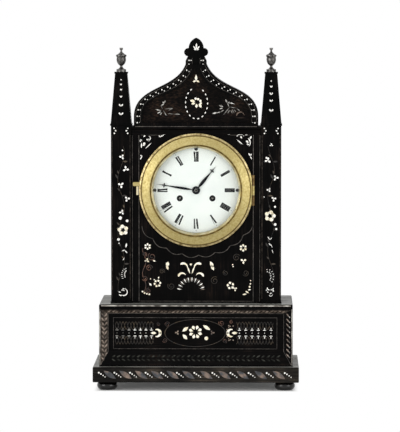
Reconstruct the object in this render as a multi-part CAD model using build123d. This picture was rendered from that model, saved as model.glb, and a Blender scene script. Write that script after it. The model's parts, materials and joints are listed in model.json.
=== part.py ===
from build123d import *

import math
import os

# Gothic mantel clock: an ogee pediment between two spired towers, on a framed plinth,
# with a hinged brass bezel and a two-train striking movement.
# Millimetres. +X is the viewer's right, +Y the back, +Z up.
# The origin is on the floor, under the middle of the base slab.

# Base and plinth
foot_radius = 13.2
foot_sole_share = 0.64
foot_neck_share = 0.7
foot_height = 11.0
foot_inset = 18.0
slab_width = 265.0
slab_depth = 140.0
slab_height = 20.0
slab_edge_round = 1.5
plinth_width = 249.0
plinth_depth = 125.0
plinth_height = 80.0
plinth_back_ledge = 6.0
plinth_board = 10.0
plinth_top_board = 5.0
plinth_arris = 1.2
frame_thickness = 12.0
frame_border = 2.0
frame_stile = 11.5
frame_top_rail = 7.3
frame_bottom_rail = 18.5
frame_lip = 3.0
panel_recess = 6.5
panel_thickness = 5.0
panel_clearance = 0.2

# Case
bezel_side_room = 10.2
case_depth = 100.0
case_ledge = 15.0
case_board = 8.0
side_setback = 4.0
tower_side = 26.0
tower_height = 229.0
tower_foot_height = 2.4
tower_foot_rise = 0.8
dial_panel_setback = 4.0
dial_panel_board = 8.0
stile_width = 11.0
stile_rise = 1.2
stile_round = 0.9
cornice_height = 11.0
cornice_rise = 1.6
cornice_cove = 3.6
spire_base = 28.0
spire_base_height = 3.0
spire_base_round = 0.9
spire_top = 15.6
spire_height = 69.0
spire_cap_height = 2.0
spire_cap_rise = 0.8
urn_height = 31.0
urn_foot_radius = 6.2
urn_rim_radius = 6.8
urn_stem_radius = 1.5
urn_knob_radius = 2.2
urn_foot_level = 0.11
urn_flare_level = 0.16
urn_stem_level = 0.25
urn_belly_level = 0.37
urn_lip_level = 0.60
urn_rim_level = 0.66
urn_lid_level = 0.70
urn_lid_shoulder_level = 0.74
urn_neck_level = 0.82
urn_knob_neck_level = 0.90
urn_knob_level = 0.93
urn_flare_share = 0.44
urn_belly_share = 0.74
urn_lip_share = 0.84
urn_lid_share = 0.62
urn_knob_neck_share = 0.7

# Pediment
pediment_clearance = 3.5
pediment_height = 79.0
pediment_board = 24.0
pediment_setback = 4.0
pediment_neck = 13.5
ogee_spring = 11.0
ogee_shoulder = 52.0
ogee_waist = 44.0
ogee_waist_reach = 28.0
ogee_top_share = 0.9
ogee_shoulder_share = 0.6
ogee_waist_share = 0.35
moulding_width = 11.0
moulding_outer_width = 6.0
moulding_outer_rise = 3.6
moulding_inner_rise = 2.0
moulding_foot = 4.0
palmette_height = 34.0
palmette_base_height = 4.5
palmette_thickness = 12.0
palmette_lobe_radius = 5.2
palmette_lobe_spread = 10.2
palmette_lobe_height = 15.5
palmette_leaf_width = 19.2
palmette_leaf_foot = 7.0
palmette_waist_share = 0.8

# Dial, bezel and hands
dial_drop = 72.0
dial_radius = 56.5
dial_thickness = 1.6
dial_setback = 1.0
dial_ring_wall = 1.8
dial_ring_inset = 3.3
dial_ring_flange = 2.2
dial_ring_lip = 1.9
fit_clearance = 0.2
running_clearance = 0.08
cut_margin = 1.0
bezel_radius = 73.3
bezel_gap = 0.4
bezel_rim = 2.6
bezel_depth = 10.4
bezel_crest_radius = 59.5
bezel_crest_inside = 2.5
bezel_crest_outside = 1.5
bezel_crest_fall = 0.9
bezel_band_inset = 2.8
bezel_band_rise = 2.8
bezel_quirk_width = 0.7
bezel_quirk_rise = 0.8
sight_radius = 54.8
sight_lip = 3.4
sight_lip_thickness = 2.0
glass_radius = 57.0
glass_thickness = 1.6
glass_dome = 5.0
sight_ring_wall = 2.2
hinge_radius = 1.9
hinge_pin_radius = 0.8
hinge_length = 39.0
hinge_knuckle = 12.0
hinge_gap = 0.3
hinge_leaf = 0.9
tab_reach = 8.0
tab_height = 5.0
tab_thickness = 2.0
tab_level = 8.0
tab_round = 1.5
catch_width = 2.6
catch_length = 11.0
catch_rise = 2.2
hand_thickness = 0.5
hand_gap = 0.5
hour_hand_length = 41.0
hour_hand_turn = 39.5
minute_hand_length = 52.7
minute_hand_turn = 279.0
hour_blade_width = 3.8
minute_blade_width = 3.0
hand_shaft_width = 1.2
hand_star_width = 5.8
hand_star_waist = 1.0
hand_star_share = 0.79
hand_leaf_start = 0.1
hand_leaf_belly = 0.22
hand_leaf_taper = 0.5
hand_leaf_fullness = 1.8
hour_boss_radius = 5.2
minute_boss_radius = 4.8
minute_cap_radius = 2.9
winding_hole_radius = 4.0
winding_spread = 21.0
winding_drop = 10.5
regulator_level = 53.2
regulator_radius = 0.9
centre_post_radius = 1.5
cannon_wall = 0.75
hour_pipe_wall = 0.75
dial_hole_clearance = 0.3

# Back door
back_opening_radius = 50.0
back_ring_radius = 57.0
back_ring_thickness = 2.0
door_radius = 54.0
door_thickness = 1.6
door_slots = 12
door_slot_width = 3.0
door_slot_length = 16.2
door_slot_spread = 32.4
door_knob_radius = 3.5
door_knob_length = 9.0
door_knob_spread = 47.0
door_knob_neck_share = 0.5
door_knob_waist_level = 0.4
door_knob_belly_level = 0.7

# Movement frame
plate_radius = 50.0
plate_thickness = 2.2
plate_gap = 37.8
motion_gap = 0.8
dial_room = 8.4
pillar_radius = 3.2
pillar_spread = 44.0
pillar_waist_radius = 1.9
pillar_end = 3.8
dial_foot_radius = 1.8
dial_foot_spread = 47.0
pillar_bearings = (20, 160, 250, 290)
dial_foot_bearings = (45, 135, 225, 315)
strap_width = 8.0
strap_thickness = 2.0
strap_spread = 54.6
pivot_radius = 0.45
arbor_radius = 0.7
barrel_pivot_radius = 2.0
wheel_thickness = 1.4
wheel_rim = 2.2
wheel_hub = 3.0
wheel_spoke = 1.8
wheel_gap = 2.6
barrel_gap = 2.8
pinion_length = 4.0

# Trains: tooth counts, and the module of each meshing pair
barrel_teeth = 60
centre_pinion_teeth = 12
centre_teeth = 56
third_pinion_teeth = 8
third_teeth = 54
escape_pinion_teeth = 8
escape_teeth = 30
strike_pinion_teeth = 12
strike_teeth = 56
pin_pinion_teeth = 8
pin_teeth = 48
fly_pinion_teeth = 6
cannon_teeth = 12
minute_wheel_teeth = 36
minute_pinion_teeth = 10
hour_wheel_teeth = 40
centre_module = 0.5
third_module = 0.42
strike_module = 0.42
pin_module = 0.40
minute_wheel_rise = 12.0
stud_radius = 0.9
lifting_pins = 8
tooth_addendum = 0.95
tooth_dedendum = 1.25
tooth_root_share = 0.62
saw_rake_share = 0.15
third_bearing = 60.0
strike_bearing = 100.0
pin_bearing = 60.0
fly_bearing = 75.0
barrel_drum_radius = 17.4
barrel_drum_length = 18.0
barrel_wheel_thickness = 2.0
barrel_arbor_radius = 3.0
winding_square = 3.2
ratchet_radius = 8.0
ratchet_teeth = 16
ratchet_thickness = 1.4
ratchet_tooth_depth = 1.6
escape_radius = 8.5
escape_tooth_depth = 2.4
escape_rim = 1.0
pallet_drop = 11.9
pallet_clearance = 0.9
pallet_span = 50.0
pallet_hub_radius = 2.2
count_wheel_radius = 17.0
count_notch_depth = 2.0
count_notch_width = 1.2
last_hour = 12
fly_span = 6.0
fly_length = 14.0
fly_thickness = 0.6

# Pendulum, bell and hammer
pendulum_clearance = 17.0
pendulum_gap = 6.6
pendulum_rod_radius = 1.2
bob_radius = 17.0
bob_thickness = 11.0
bob_edge = 2.6
rating_nut_radius = 4.0
rating_nut_height = 4.0
suspension_width = 5.0
suspension_thickness = 0.6
suspension_length = 13.0
cock_width = 12.0
cock_thickness = 3.0
cock_rise = 4.0
crutch_drop = 30.0
crutch_thickness = 1.2
crutch_width = 2.4
crutch_gap = 1.5
crutch_clearance = 0.3
bell_radius = 40.0
bell_height = 22.0
bell_wall = 2.0
bell_gap = 11.8
bell_post_spread = 25.0
bell_post_bearing = 209.0
bell_post_radius = 2.4
bell_stud_radius = 2.0
bell_nut_height = 2.0
bell_nut_radius = 3.2
bell_flat_radius = 5.0
bell_waist_share = 0.94
bell_waist_level = 0.55
bell_shoulder_share = 0.72
bell_arm_level = 0.4
hammer_spread = 46.0
hammer_bearing = 316.0
hammer_arm = 25.0
hammer_head_radius = 2.4
hammer_head_length = 8.0
hammer_clearance = 0.6

# Levels, from the floor up
slab_top = foot_height + slab_height
plinth_top = slab_top + plinth_height
tower_top = plinth_top + tower_height
cornice_bottom = tower_top - cornice_height
dial_z = cornice_bottom - dial_drop

# Planes, from front to back
slab_back = slab_depth / 2
plinth_back = slab_back - plinth_back_ledge
plinth_front = plinth_back - plinth_depth
tower_front = plinth_front + case_ledge
tower_back = tower_front + tower_side
case_back = tower_front + case_depth
back_board_front = case_back - case_board
dial_panel_front = tower_front + dial_panel_setback
dial_panel_back = dial_panel_front + dial_panel_board
stile_front = dial_panel_front - stile_rise
dial_ring_front = dial_panel_front - dial_ring_flange
dial_front = dial_panel_front - dial_setback
dial_back = dial_front + dial_thickness
bezel_back = dial_ring_front - bezel_gap
plate_front = dial_back + dial_room
plate_back = plate_front + plate_thickness
rear_plate_front = plate_back + plate_gap
rear_plate_back = rear_plate_front + plate_thickness
minute_wheel_front = plate_front - motion_gap - wheel_thickness
hour_wheel_front = minute_wheel_front - motion_gap - wheel_thickness
count_wheel_front = rear_plate_back + crutch_gap
crutch_front = rear_plate_back + crutch_gap
crutch_back = crutch_front + crutch_thickness
pendulum_plane = rear_plate_back + pendulum_gap
bell_mouth = rear_plate_back + bell_gap

# Half widths of the case, from the bezel outwards
dial_ring_radius = bezel_radius - dial_ring_inset
tower_inner = bezel_radius + bezel_side_room
tower_outer = tower_inner + tower_side
pediment_half_width = tower_inner - pediment_clearance
side_outer = tower_outer - side_setback
side_inner = side_outer - case_board
tower_axis_x = tower_outer - tower_side / 2
tower_axis_y = tower_front + tower_side / 2


def box(x0, x1, y0, y1, z0, z1):
    """Block between two opposite corners."""
    middle = Pos((x0 + x1) / 2, (y0 + y1) / 2, (z0 + z1) / 2)
    return middle * Box(x1 - x0, y1 - y0, z1 - z0)


def polygon(points):
    """Flat face inside straight edges."""
    return make_face(Polyline(*points, close=True))


def turn(edges):
    """Solid of revolution about Z, from edges drawn as (radius, height)."""
    return revolve(Plane.XZ * make_face(edges), Axis.Z)


def turn_points(points):
    """Solid of revolution about Z with a straight-edged profile."""
    return turn(Polyline(*points, close=True))


def to_front(shape, y, x=0.0, z=dial_z):
    """Stand a shape drawn flat in XY upright, its own +Z pointing at the viewer."""
    return Pos(x, y, z) * Rot(90, 0, 0) * shape


def slice_front(face, y_front, y_back, x=0.0, z=dial_z):
    """Upright plate between two planes, from a face drawn in XY."""
    return to_front(extrude(face, amount=y_back - y_front, dir=(0, 0, 1)), y_back, x, z)


def bar(radius, y_front, y_back, x=0.0, z=dial_z):
    """Round bar that runs from front to back."""
    return slice_front(Circle(radius), y_front, y_back, x, z)


def mirrored(shape):
    """The same piece on the other side of the clock."""
    return mirror(shape, about=Plane.YZ)


# Case pieces


def make_foot():
    """Bun foot: a flat sole, a bulging side and a short neck under the slab."""
    sole = foot_radius * foot_sole_share
    neck = foot_radius * foot_neck_share
    side = ThreePointArc((sole, 0), (foot_radius, foot_height / 2), (neck, foot_height))
    ends = Polyline((neck, foot_height), (0, foot_height), (0, 0), (sole, 0))
    return turn([side, ends])


def make_feet():
    """Four feet under the corners of the slab."""
    x = slab_width / 2 - foot_inset
    y = slab_depth / 2 - foot_inset
    return [Pos(sx * x, sy * y, 0) * make_foot() for sx in (-1, 1) for sy in (-1, 1)]


def make_slab():
    """Base slab with its long edges rounded for the rope border."""
    half_x = slab_width / 2
    half_y = slab_depth / 2
    block = box(-half_x, half_x, -half_y, half_y, foot_height, slab_top)
    level_edges = block.edges().filter_by(Plane.XY)
    return fillet(level_edges, slab_edge_round)


def plinth_opening(grow=0.0):
    """Opening of the front frame in its own plane, wider by a margin all round."""
    height = plinth_height - plinth_top_board
    width = plinth_width - 2 * frame_stile
    clear_height = height - frame_bottom_rail - frame_top_rail
    middle = frame_bottom_rail + clear_height / 2
    return Pos(0, middle) * Rectangle(width + 2 * grow, clear_height + 2 * grow)


def make_plinth_frame():
    """Mitred front frame that slopes from a narrow border down to the sunk panel."""
    height = plinth_height - plinth_top_board
    outline = Pos(0, height / 2) * Rectangle(plinth_width, height)
    mouth = Pos(0, height / 2) * Rectangle(plinth_width - 2 * frame_border, height - 2 * frame_border)
    panel_front = plinth_front + panel_recess
    frame_back = plinth_front + frame_thickness
    block = slice_front(outline, plinth_front, frame_back, z=slab_top)
    slope = loft([plinth_opening(), Pos(0, 0, panel_recess) * mouth], ruled=True)
    slope = to_front(slope, panel_front, z=slab_top)
    rebate = slice_front(plinth_opening(frame_lip), panel_front, frame_back, z=slab_top)
    return block - slope - rebate


def make_plinth_panel():
    """Flat panel held in the rebate behind the frame."""
    front = plinth_front + panel_recess
    face = plinth_opening(frame_lip - panel_clearance)
    return slice_front(face, front, front + panel_thickness, z=slab_top)


def make_plinth_boards():
    """Two side boards and the back board of the plinth box."""
    half = plinth_width / 2
    top = plinth_top - plinth_top_board
    front = plinth_front + frame_thickness
    back = plinth_back - plinth_board
    right = box(half - plinth_board, half, front, back, slab_top, top)
    rear = box(-half, half, back, plinth_back, slab_top, top)
    return [mirrored(right), right, rear]


def make_plinth_top():
    """Top board of the plinth with its upper arris eased."""
    half = plinth_width / 2
    board = box(-half, half, plinth_front, plinth_back, plinth_top - plinth_top_board, plinth_top)
    return chamfer(board.faces().sort_by(Axis.Z)[-1].edges(), plinth_arris)


def make_tower():
    """Right-hand square tower with a thin foot on its two outer sides."""
    shaft = box(tower_inner, tower_outer, tower_front, tower_back, plinth_top, tower_top)
    foot = box(
        tower_inner,
        tower_outer + tower_foot_rise,
        tower_front - tower_foot_rise,
        tower_back,
        plinth_top,
        plinth_top + tower_foot_height,
    )
    return shaft + foot


def make_spire():
    """Right-hand obelisk: a rounded base block, a tapering shaft and a small cap."""
    base = Pos(tower_axis_x, tower_axis_y, tower_top + spire_base_height / 2)
    block = base * Box(spire_base, spire_base, spire_base_height)
    block = fillet(block.edges().filter_by(Plane.XY), spire_base_round)
    taper_bottom = tower_top + spire_base_height
    taper_top = tower_top + spire_height - spire_cap_height
    foot_side = spire_base - 2 * spire_cap_rise
    low = Pos(tower_axis_x, tower_axis_y, taper_bottom) * Rectangle(foot_side, foot_side)
    high = Pos(tower_axis_x, tower_axis_y, taper_top) * Rectangle(spire_top, spire_top)
    cap_side = spire_top + 2 * spire_cap_rise
    cap = Pos(tower_axis_x, tower_axis_y, taper_top + spire_cap_height / 2)
    return block + loft([low, high], ruled=True) + cap * Box(cap_side, cap_side, spire_cap_height)


def make_urn():
    """Turned urn: flared foot, thin stem, vase bowl, lid and knob."""
    foot = (urn_foot_radius, urn_height * urn_foot_level)
    flare = (urn_foot_radius * urn_flare_share, urn_height * urn_flare_level)
    stem = (urn_stem_radius, urn_height * urn_stem_level)
    belly = (urn_rim_radius * urn_belly_share, urn_height * urn_belly_level)
    lip = (urn_rim_radius * urn_lip_share, urn_height * urn_lip_level)
    top = Polyline(
        lip,
        (urn_rim_radius, urn_height * urn_rim_level),
        (urn_rim_radius, urn_height * urn_lid_level),
        (urn_rim_radius * urn_lid_share, urn_height * urn_lid_shoulder_level),
        (urn_stem_radius, urn_height * urn_neck_level),
        (urn_stem_radius * urn_knob_neck_share, urn_height * urn_knob_neck_level),
        (urn_knob_radius, urn_height * urn_knob_level),
        (urn_knob_radius, urn_height),
        (0, urn_height),
        (0, 0),
        (urn_foot_radius, 0),
        foot,
    )
    sweeps = [ThreePointArc(foot, flare, stem), ThreePointArc(stem, belly, lip), top]
    return Pos(tower_axis_x, tower_axis_y, tower_top + spire_height) * turn(sweeps)


def make_case_sides():
    """Two plain boards from the towers to the back."""
    right = box(side_inner, side_outer, tower_back, back_board_front, plinth_top, cornice_bottom)
    return [mirrored(right), right]


def make_dial_panel():
    """Front panel between the towers, with the round opening for the dial ring."""
    half = tower_inner
    board = box(-half, half, dial_panel_front, dial_panel_back, plinth_top, cornice_bottom)
    opening = dial_radius + fit_clearance + dial_ring_wall + fit_clearance
    return board - bar(opening, dial_panel_front - cut_margin, dial_panel_back + cut_margin)


def make_stiles():
    """Two upright mouldings on the panel, beside the towers."""
    inner = tower_inner - stile_width
    strip = box(inner, tower_inner, stile_front, dial_panel_front, plinth_top, cornice_bottom)
    front_edges = strip.faces().sort_by(Axis.Y)[0].edges().filter_by(Axis.Z)
    right = fillet(front_edges, stile_round)
    return [mirrored(right), right]


def make_cornice():
    """Rail over the dial panel: a fillet above a cove, between the towers."""
    half = tower_inner - fit_clearance
    front = tower_front - cornice_rise
    cove_top = tower_top - (cornice_height - cornice_cove) / 2
    cove = RadiusArc((front, cove_top), (front + cornice_cove, cove_top - cornice_cove), cornice_cove)
    outline = Polyline(
        (front + cornice_cove, cove_top - cornice_cove),
        (front + cornice_cove, cornice_bottom),
        (tower_back, cornice_bottom),
        (tower_back, tower_top),
        (front, tower_top),
        (front, cove_top),
    )
    section = Plane.YZ * make_face([cove, outline])
    return extrude(section, amount=half, dir=(1, 0, 0), both=True)


def make_case_top():
    """Top board behind the towers and the cornice."""
    return box(-side_outer, side_outer, tower_back, case_back, cornice_bottom, cornice_bottom + case_board)


def ogee_face(inset):
    """Pediment outline, moved inwards by a band of the given width."""
    half = pediment_half_width - inset
    neck = pediment_neck - inset
    top = pediment_height - ogee_top_share * inset
    foot = moulding_foot if inset else 0.0
    shoulder = ogee_shoulder - ogee_shoulder_share * inset
    waist = (ogee_waist_reach - ogee_waist_share * inset, ogee_waist - inset)
    right = Bezier((half, ogee_spring), (half, shoulder), waist, (neck, top))
    left = Bezier((-half, ogee_spring), (-half, shoulder), (-waist[0], waist[1]), (-neck, top))
    lines = [
        Line((neck, top), (-neck, top)),
        Line((-half, ogee_spring), (-half, foot)),
        Line((-half, foot), (half, foot)),
        Line((half, foot), (half, ogee_spring)),
    ]
    return make_face([right, left] + lines)


pediment_front = tower_front + pediment_setback
pediment_back = pediment_front + pediment_board


def make_pediment_board():
    """Thick ogee board that stands on the cornice."""
    return slice_front(ogee_face(0.0), pediment_front, pediment_back, z=tower_top)


def make_pediment_moulding():
    """Two-step band along the edge of the pediment."""
    outer_band = ogee_face(0.0) - ogee_face(moulding_outer_width)
    whole_band = ogee_face(0.0) - ogee_face(moulding_width)
    outer = slice_front(outer_band, pediment_front - moulding_outer_rise, pediment_front, z=tower_top)
    inner = slice_front(whole_band, pediment_front - moulding_inner_rise, pediment_front, z=tower_top)
    return outer + inner


def make_palmette():
    """Trefoil finial: a stepped foot, two round side lobes and a pointed middle leaf."""
    leaf_half = palmette_leaf_width / 2
    leaf_middle = (palmette_leaf_foot + palmette_height) / 2
    foot_point = (0, palmette_leaf_foot)
    tip = (0, palmette_height)
    right = ThreePointArc(foot_point, (leaf_half, leaf_middle), tip)
    left = ThreePointArc(tip, (-leaf_half, leaf_middle), foot_point)
    leaf = make_face([right, left])
    waist = palmette_lobe_spread * palmette_waist_share
    foot = polygon(
        [
            (-pediment_neck, 0),
            (pediment_neck, 0),
            (pediment_neck, palmette_base_height),
            (waist, palmette_lobe_height),
            (-waist, palmette_lobe_height),
            (-pediment_neck, palmette_base_height),
        ]
    )
    lobe = Circle(palmette_lobe_radius)
    lobes = [Pos(side * palmette_lobe_spread, palmette_lobe_height) * lobe for side in (-1, 1)]
    outline = leaf + foot + lobes[0] + lobes[1]
    back = pediment_front + palmette_thickness
    return slice_front(outline, pediment_front, back, z=tower_top + pediment_height)


def make_back_board():
    """Back of the case with the round opening for the movement."""
    board = box(-side_outer, side_outer, back_board_front, case_back, plinth_top, cornice_bottom)
    return board - bar(back_opening_radius, back_board_front - cut_margin, case_back + cut_margin)


# Dial, bezel and hands

hinge_x = bezel_radius + hinge_gap
hinge_y = stile_front - hinge_gap - hinge_radius
opening_edge = hinge_x - hinge_radius - hinge_gap


def knuckle(x, y, z_low, z_high):
    """Length of hinge barrel, bored for the pin."""
    height = z_high - z_low
    barrel = Cylinder(hinge_radius, height) - Cylinder(hinge_pin_radius + running_clearance, height)
    return Pos(x, y, (z_low + z_high) / 2) * barrel


def pin_bore(x, y, length):
    """Clear way for a hinge pin through whatever is joined to a knuckle."""
    return Pos(x, y, dial_z) * Cylinder(hinge_pin_radius + running_clearance, length)


def fixed_knuckles(x, y, leaf_start, leaf_front, leaf_back):
    """Upper and lower knuckle of a hinge, each on its leaf."""
    inner = hinge_knuckle / 2 + hinge_gap
    outer = hinge_length / 2
    pieces = []
    for low, high in ((dial_z + inner, dial_z + outer), (dial_z - outer, dial_z - inner)):
        pieces.append(knuckle(x, y, low, high))
        leaf = box(leaf_start, x, leaf_front, leaf_back, low, high)
        pieces.append(leaf - pin_bore(x, y, hinge_length))
    return pieces


def make_dial_ring():
    """Fixed brass ring: a flange on the panel, a spigot in its opening and a lip behind the dial."""
    inner = dial_radius + fit_clearance
    outer = inner + dial_ring_wall
    lip = dial_radius - dial_ring_lip
    seat = dial_panel_back - dial_back
    lip_back = seat - dial_ring_wall
    flange = dial_panel_board + dial_ring_flange
    profile = turn_points(
        [
            (outer, 0),
            (outer, dial_panel_board),
            (dial_ring_radius, dial_panel_board),
            (dial_ring_radius, flange),
            (inner, flange),
            (inner, seat),
            (lip, seat),
            (lip, lip_back),
            (inner, lip_back),
            (inner, 0),
        ]
    )
    ring = to_front(profile, dial_panel_back)
    leaf_start = dial_ring_radius - 2 * hinge_radius
    for piece in fixed_knuckles(hinge_x, hinge_y, leaf_start, dial_ring_front, dial_ring_front + hinge_leaf):
        ring = ring + piece
    return ring


def make_bezel_ring():
    """Swinging brass bezel: thin rim, sloped band, crest and a lip that holds the glass."""
    rebate = glass_radius + fit_clearance
    band_foot = bezel_radius - bezel_band_inset
    crest_side = bezel_depth - bezel_crest_fall
    profile = turn_points(
        [
            (sight_radius, sight_lip),
            (sight_radius, sight_lip + sight_lip_thickness),
            (bezel_crest_radius - bezel_crest_inside, crest_side),
            (bezel_crest_radius, bezel_depth),
            (bezel_crest_radius + bezel_crest_outside, crest_side),
            (band_foot, bezel_rim + bezel_band_rise),
            (band_foot + bezel_quirk_width, bezel_rim + bezel_quirk_rise),
            (bezel_radius, bezel_rim),
            (bezel_radius, 0),
            (rebate, 0),
            (rebate, sight_lip),
        ]
    )
    ring = to_front(profile, bezel_back)
    reach = hinge_length / 2 + hinge_gap
    front = bezel_back - bezel_depth
    relief = box(opening_edge, bezel_radius, front, bezel_back, dial_z - reach, dial_z + reach)
    low = dial_z - hinge_knuckle / 2
    high = dial_z + hinge_knuckle / 2
    web = box(opening_edge - 2 * hinge_radius, hinge_x, hinge_y - hinge_radius / 2, bezel_back, low, high)
    web = web - pin_bore(hinge_x, hinge_y, hinge_length)
    return ring - relief + web + knuckle(hinge_x, hinge_y, low, high)


def dome_arc(radius, edge_height, rise):
    """Shallow arc from the rim of a dome to its top, as (radius, height)."""
    sphere = (radius**2 + rise**2) / (2 * rise)
    half = radius / 2
    sag = sphere - math.sqrt(sphere**2 - half**2)
    top = edge_height + rise
    return ThreePointArc((radius, edge_height), (half, top - sag), (0, top))


def make_glass():
    """Domed glass with a flat rim in the bezel's rebate."""
    back = sight_lip - glass_thickness
    flat = sight_radius - fit_clearance
    outer = dome_arc(flat, sight_lip, glass_dome)
    inner = dome_arc(flat, back, glass_dome)
    rim = Polyline((flat, back), (glass_radius, back), (glass_radius, sight_lip), (flat, sight_lip))
    axis = Line((0, back + glass_dome), (0, sight_lip + glass_dome))
    return to_front(turn([outer, inner, rim, axis]), bezel_back)


def make_sight_ring():
    """Thin ring behind the glass that keeps it in its rebate."""
    height = sight_lip - glass_thickness
    inner = glass_radius - sight_ring_wall
    ring = Circle(glass_radius) - Circle(inner)
    return slice_front(ring, bezel_back - height, bezel_back)


def make_tab():
    """Thumb tab on the left edge of the bezel."""
    level = dial_z + tab_level
    outer = -(bezel_radius + tab_reach)
    front = bezel_back - tab_thickness
    blade = box(outer, -bezel_radius / 2, front, bezel_back, level - tab_height / 2, level + tab_height / 2)
    end_edges = blade.faces().sort_by(Axis.X)[0].edges().filter_by(Axis.Y)
    return fillet(end_edges, tab_round) - bar(bezel_radius, front, bezel_back)


def make_catch():
    """Upright spring strip on the left stile, just outside the bezel's edge."""
    right = -(bezel_radius + 3 * hinge_gap)
    high = dial_z + tab_level - tab_height / 2 - 2 * hinge_gap
    return box(right - catch_width, right, stile_front - catch_rise, stile_front, high - catch_length, high)


def make_hinge_pins():
    """One pin for the bezel and one for the back door."""
    pin = Cylinder(hinge_pin_radius, hinge_length)
    return [Pos(hinge_x, hinge_y, dial_z) * pin, Pos(door_hinge_x, door_hinge_y, dial_z) * pin]


cannon_bore = centre_post_radius + running_clearance
cannon_radius = cannon_bore + cannon_wall
hour_bore = cannon_radius + running_clearance
hour_pipe_radius = hour_bore + hour_pipe_wall
hour_hand_back = dial_front - 2 * hand_gap
hour_hand_front = hour_hand_back - hand_thickness
minute_hand_back = hour_hand_front - hand_gap
minute_hand_front = minute_hand_back - hand_thickness


def winding_places():
    """Winding arbors from left (strike) to right (going), about the dial's middle."""
    return [(-winding_spread, -winding_drop), (winding_spread, -winding_drop)]


def make_dial():
    """Enamel dial plate with its centre, winding and regulator holes."""
    face = Circle(dial_radius) - Circle(hour_pipe_radius + dial_hole_clearance)
    for x, z in winding_places():
        face = face - Pos(x, z) * Circle(winding_hole_radius)
    face = face - Pos(0, regulator_level) * Circle(regulator_radius + dial_hole_clearance)
    return slice_front(face, dial_front, dial_back)


def hand_face(length, boss, blade_width):
    """Hand that points up: boss, a leaf that is widest near the boss, a small star and a needle tip."""
    star = hand_star_share * length
    half_shaft = hand_shaft_width / 2
    half_star = hand_star_width / 2
    waist = hand_star_waist / 2
    bulge = hand_leaf_fullness * blade_width / 2
    sides = []
    for side in (1, -1):
        sides.append(Bezier(
            (0, hand_leaf_start * length),
            (side * bulge, hand_leaf_belly * length),
            (side * bulge / 2, hand_leaf_taper * length),
            (0, star),
        ))
    shaft = polygon([(-half_shaft, 0), (half_shaft, 0), (waist, star), (0, length), (-waist, star)])
    points = []
    for bearing in range(0, 360, 90):
        arm = math.radians(bearing)
        notch = math.radians(bearing + 45)
        points.append((half_star * math.cos(arm), star + half_star * math.sin(arm)))
        points.append((waist * math.cos(notch), star + waist * math.sin(notch)))
    return Circle(boss) + shaft + make_face(sides) + polygon(points)


def make_hour_hand():
    """Hour hand on the end of the hour pipe."""
    face = hand_face(hour_hand_length, hour_boss_radius, hour_blade_width) - Circle(hour_bore)
    return slice_front(Rot(0, 0, -hour_hand_turn) * face, hour_hand_front, hour_hand_back)


def make_minute_hand():
    """Minute hand on the end of the cannon pinion, with its stepped boss."""
    face = hand_face(minute_hand_length, minute_boss_radius, minute_blade_width)
    blade = slice_front(Rot(0, 0, -minute_hand_turn) * face, minute_hand_front, minute_hand_back)
    step = minute_hand_front - 2 * hand_thickness
    return blade + bar(minute_cap_radius, step, minute_hand_front)


# Back door

door_front = case_back + back_ring_thickness + hinge_gap
door_back = door_front + door_thickness
door_hinge_x = door_radius + hinge_radius + hinge_gap
door_hinge_y = case_back + back_ring_thickness + hinge_gap + hinge_radius


def make_back_ring():
    """Brass ring round the back opening, with the fixed knuckles of the door."""
    ring = slice_front(
        Circle(back_ring_radius) - Circle(back_opening_radius), case_back, case_back + back_ring_thickness
    )
    leaf_front = case_back + back_ring_thickness / 2
    leaf_start = door_hinge_x - hinge_radius / 2
    for piece in fixed_knuckles(door_hinge_x, door_hinge_y, leaf_start, leaf_front, door_hinge_y):
        ring = ring + piece
    return ring


def make_back_door():
    """Round brass door with a ring of sound slots and its own hinge knuckle."""
    slot = Rectangle(door_slot_width, door_slot_length)
    face = Circle(door_radius)
    for step in range(door_slots):
        face = face - Rot(0, 0, step * 360 / door_slots) * Pos(0, door_slot_spread) * slot
    door = slice_front(face, door_front, door_back)
    reach = hinge_length / 2 + hinge_gap
    edge = door_hinge_x - hinge_radius - hinge_gap
    relief = box(edge, door_radius + cut_margin, door_front, door_back, dial_z - reach, dial_z + reach)
    low = dial_z - hinge_knuckle / 2
    high = dial_z + hinge_knuckle / 2
    web = box(edge - 2 * hinge_radius, door_hinge_x, door_front, door_hinge_y, low, high)
    web = web - pin_bore(door_hinge_x, door_hinge_y, hinge_length)
    return door - relief + web + knuckle(door_hinge_x, door_hinge_y, low, high)


def make_door_knob():
    """Small turned knob on the free edge of the door."""
    neck = door_knob_radius * door_knob_neck_share
    waist = (neck, door_knob_length * door_knob_waist_level)
    belly = (door_knob_radius, door_knob_length * door_knob_belly_level)
    end = (neck, door_knob_length)
    ends = Polyline(end, (0, door_knob_length), (0, 0), (neck, 0), waist)
    knob = turn([ThreePointArc(waist, belly, end), ends])
    return Pos(-door_knob_spread, door_back, dial_z) * Rot(-90, 0, 0) * knob


# Movement: places of the arbors about the dial's middle, as (x, height)


def step_from(place, bearing, distance):
    """Place at a distance from another, the bearing counted from +X towards +Z."""
    angle = math.radians(bearing)
    return (place[0] + distance * math.cos(angle), place[1] + distance * math.sin(angle))


def bearing_between(start, end):
    """Bearing from one place to another."""
    return math.degrees(math.atan2(end[1] - start[1], end[0] - start[0]))


def mesh_phase(phase, teeth, bearing, other_teeth):
    """Turn of a gear that meshes with another one at the given bearing from it."""
    share = ((bearing - phase) * teeth / 360) % 1
    return bearing + 180 + (0.5 + share) * 360 / other_teeth


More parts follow.
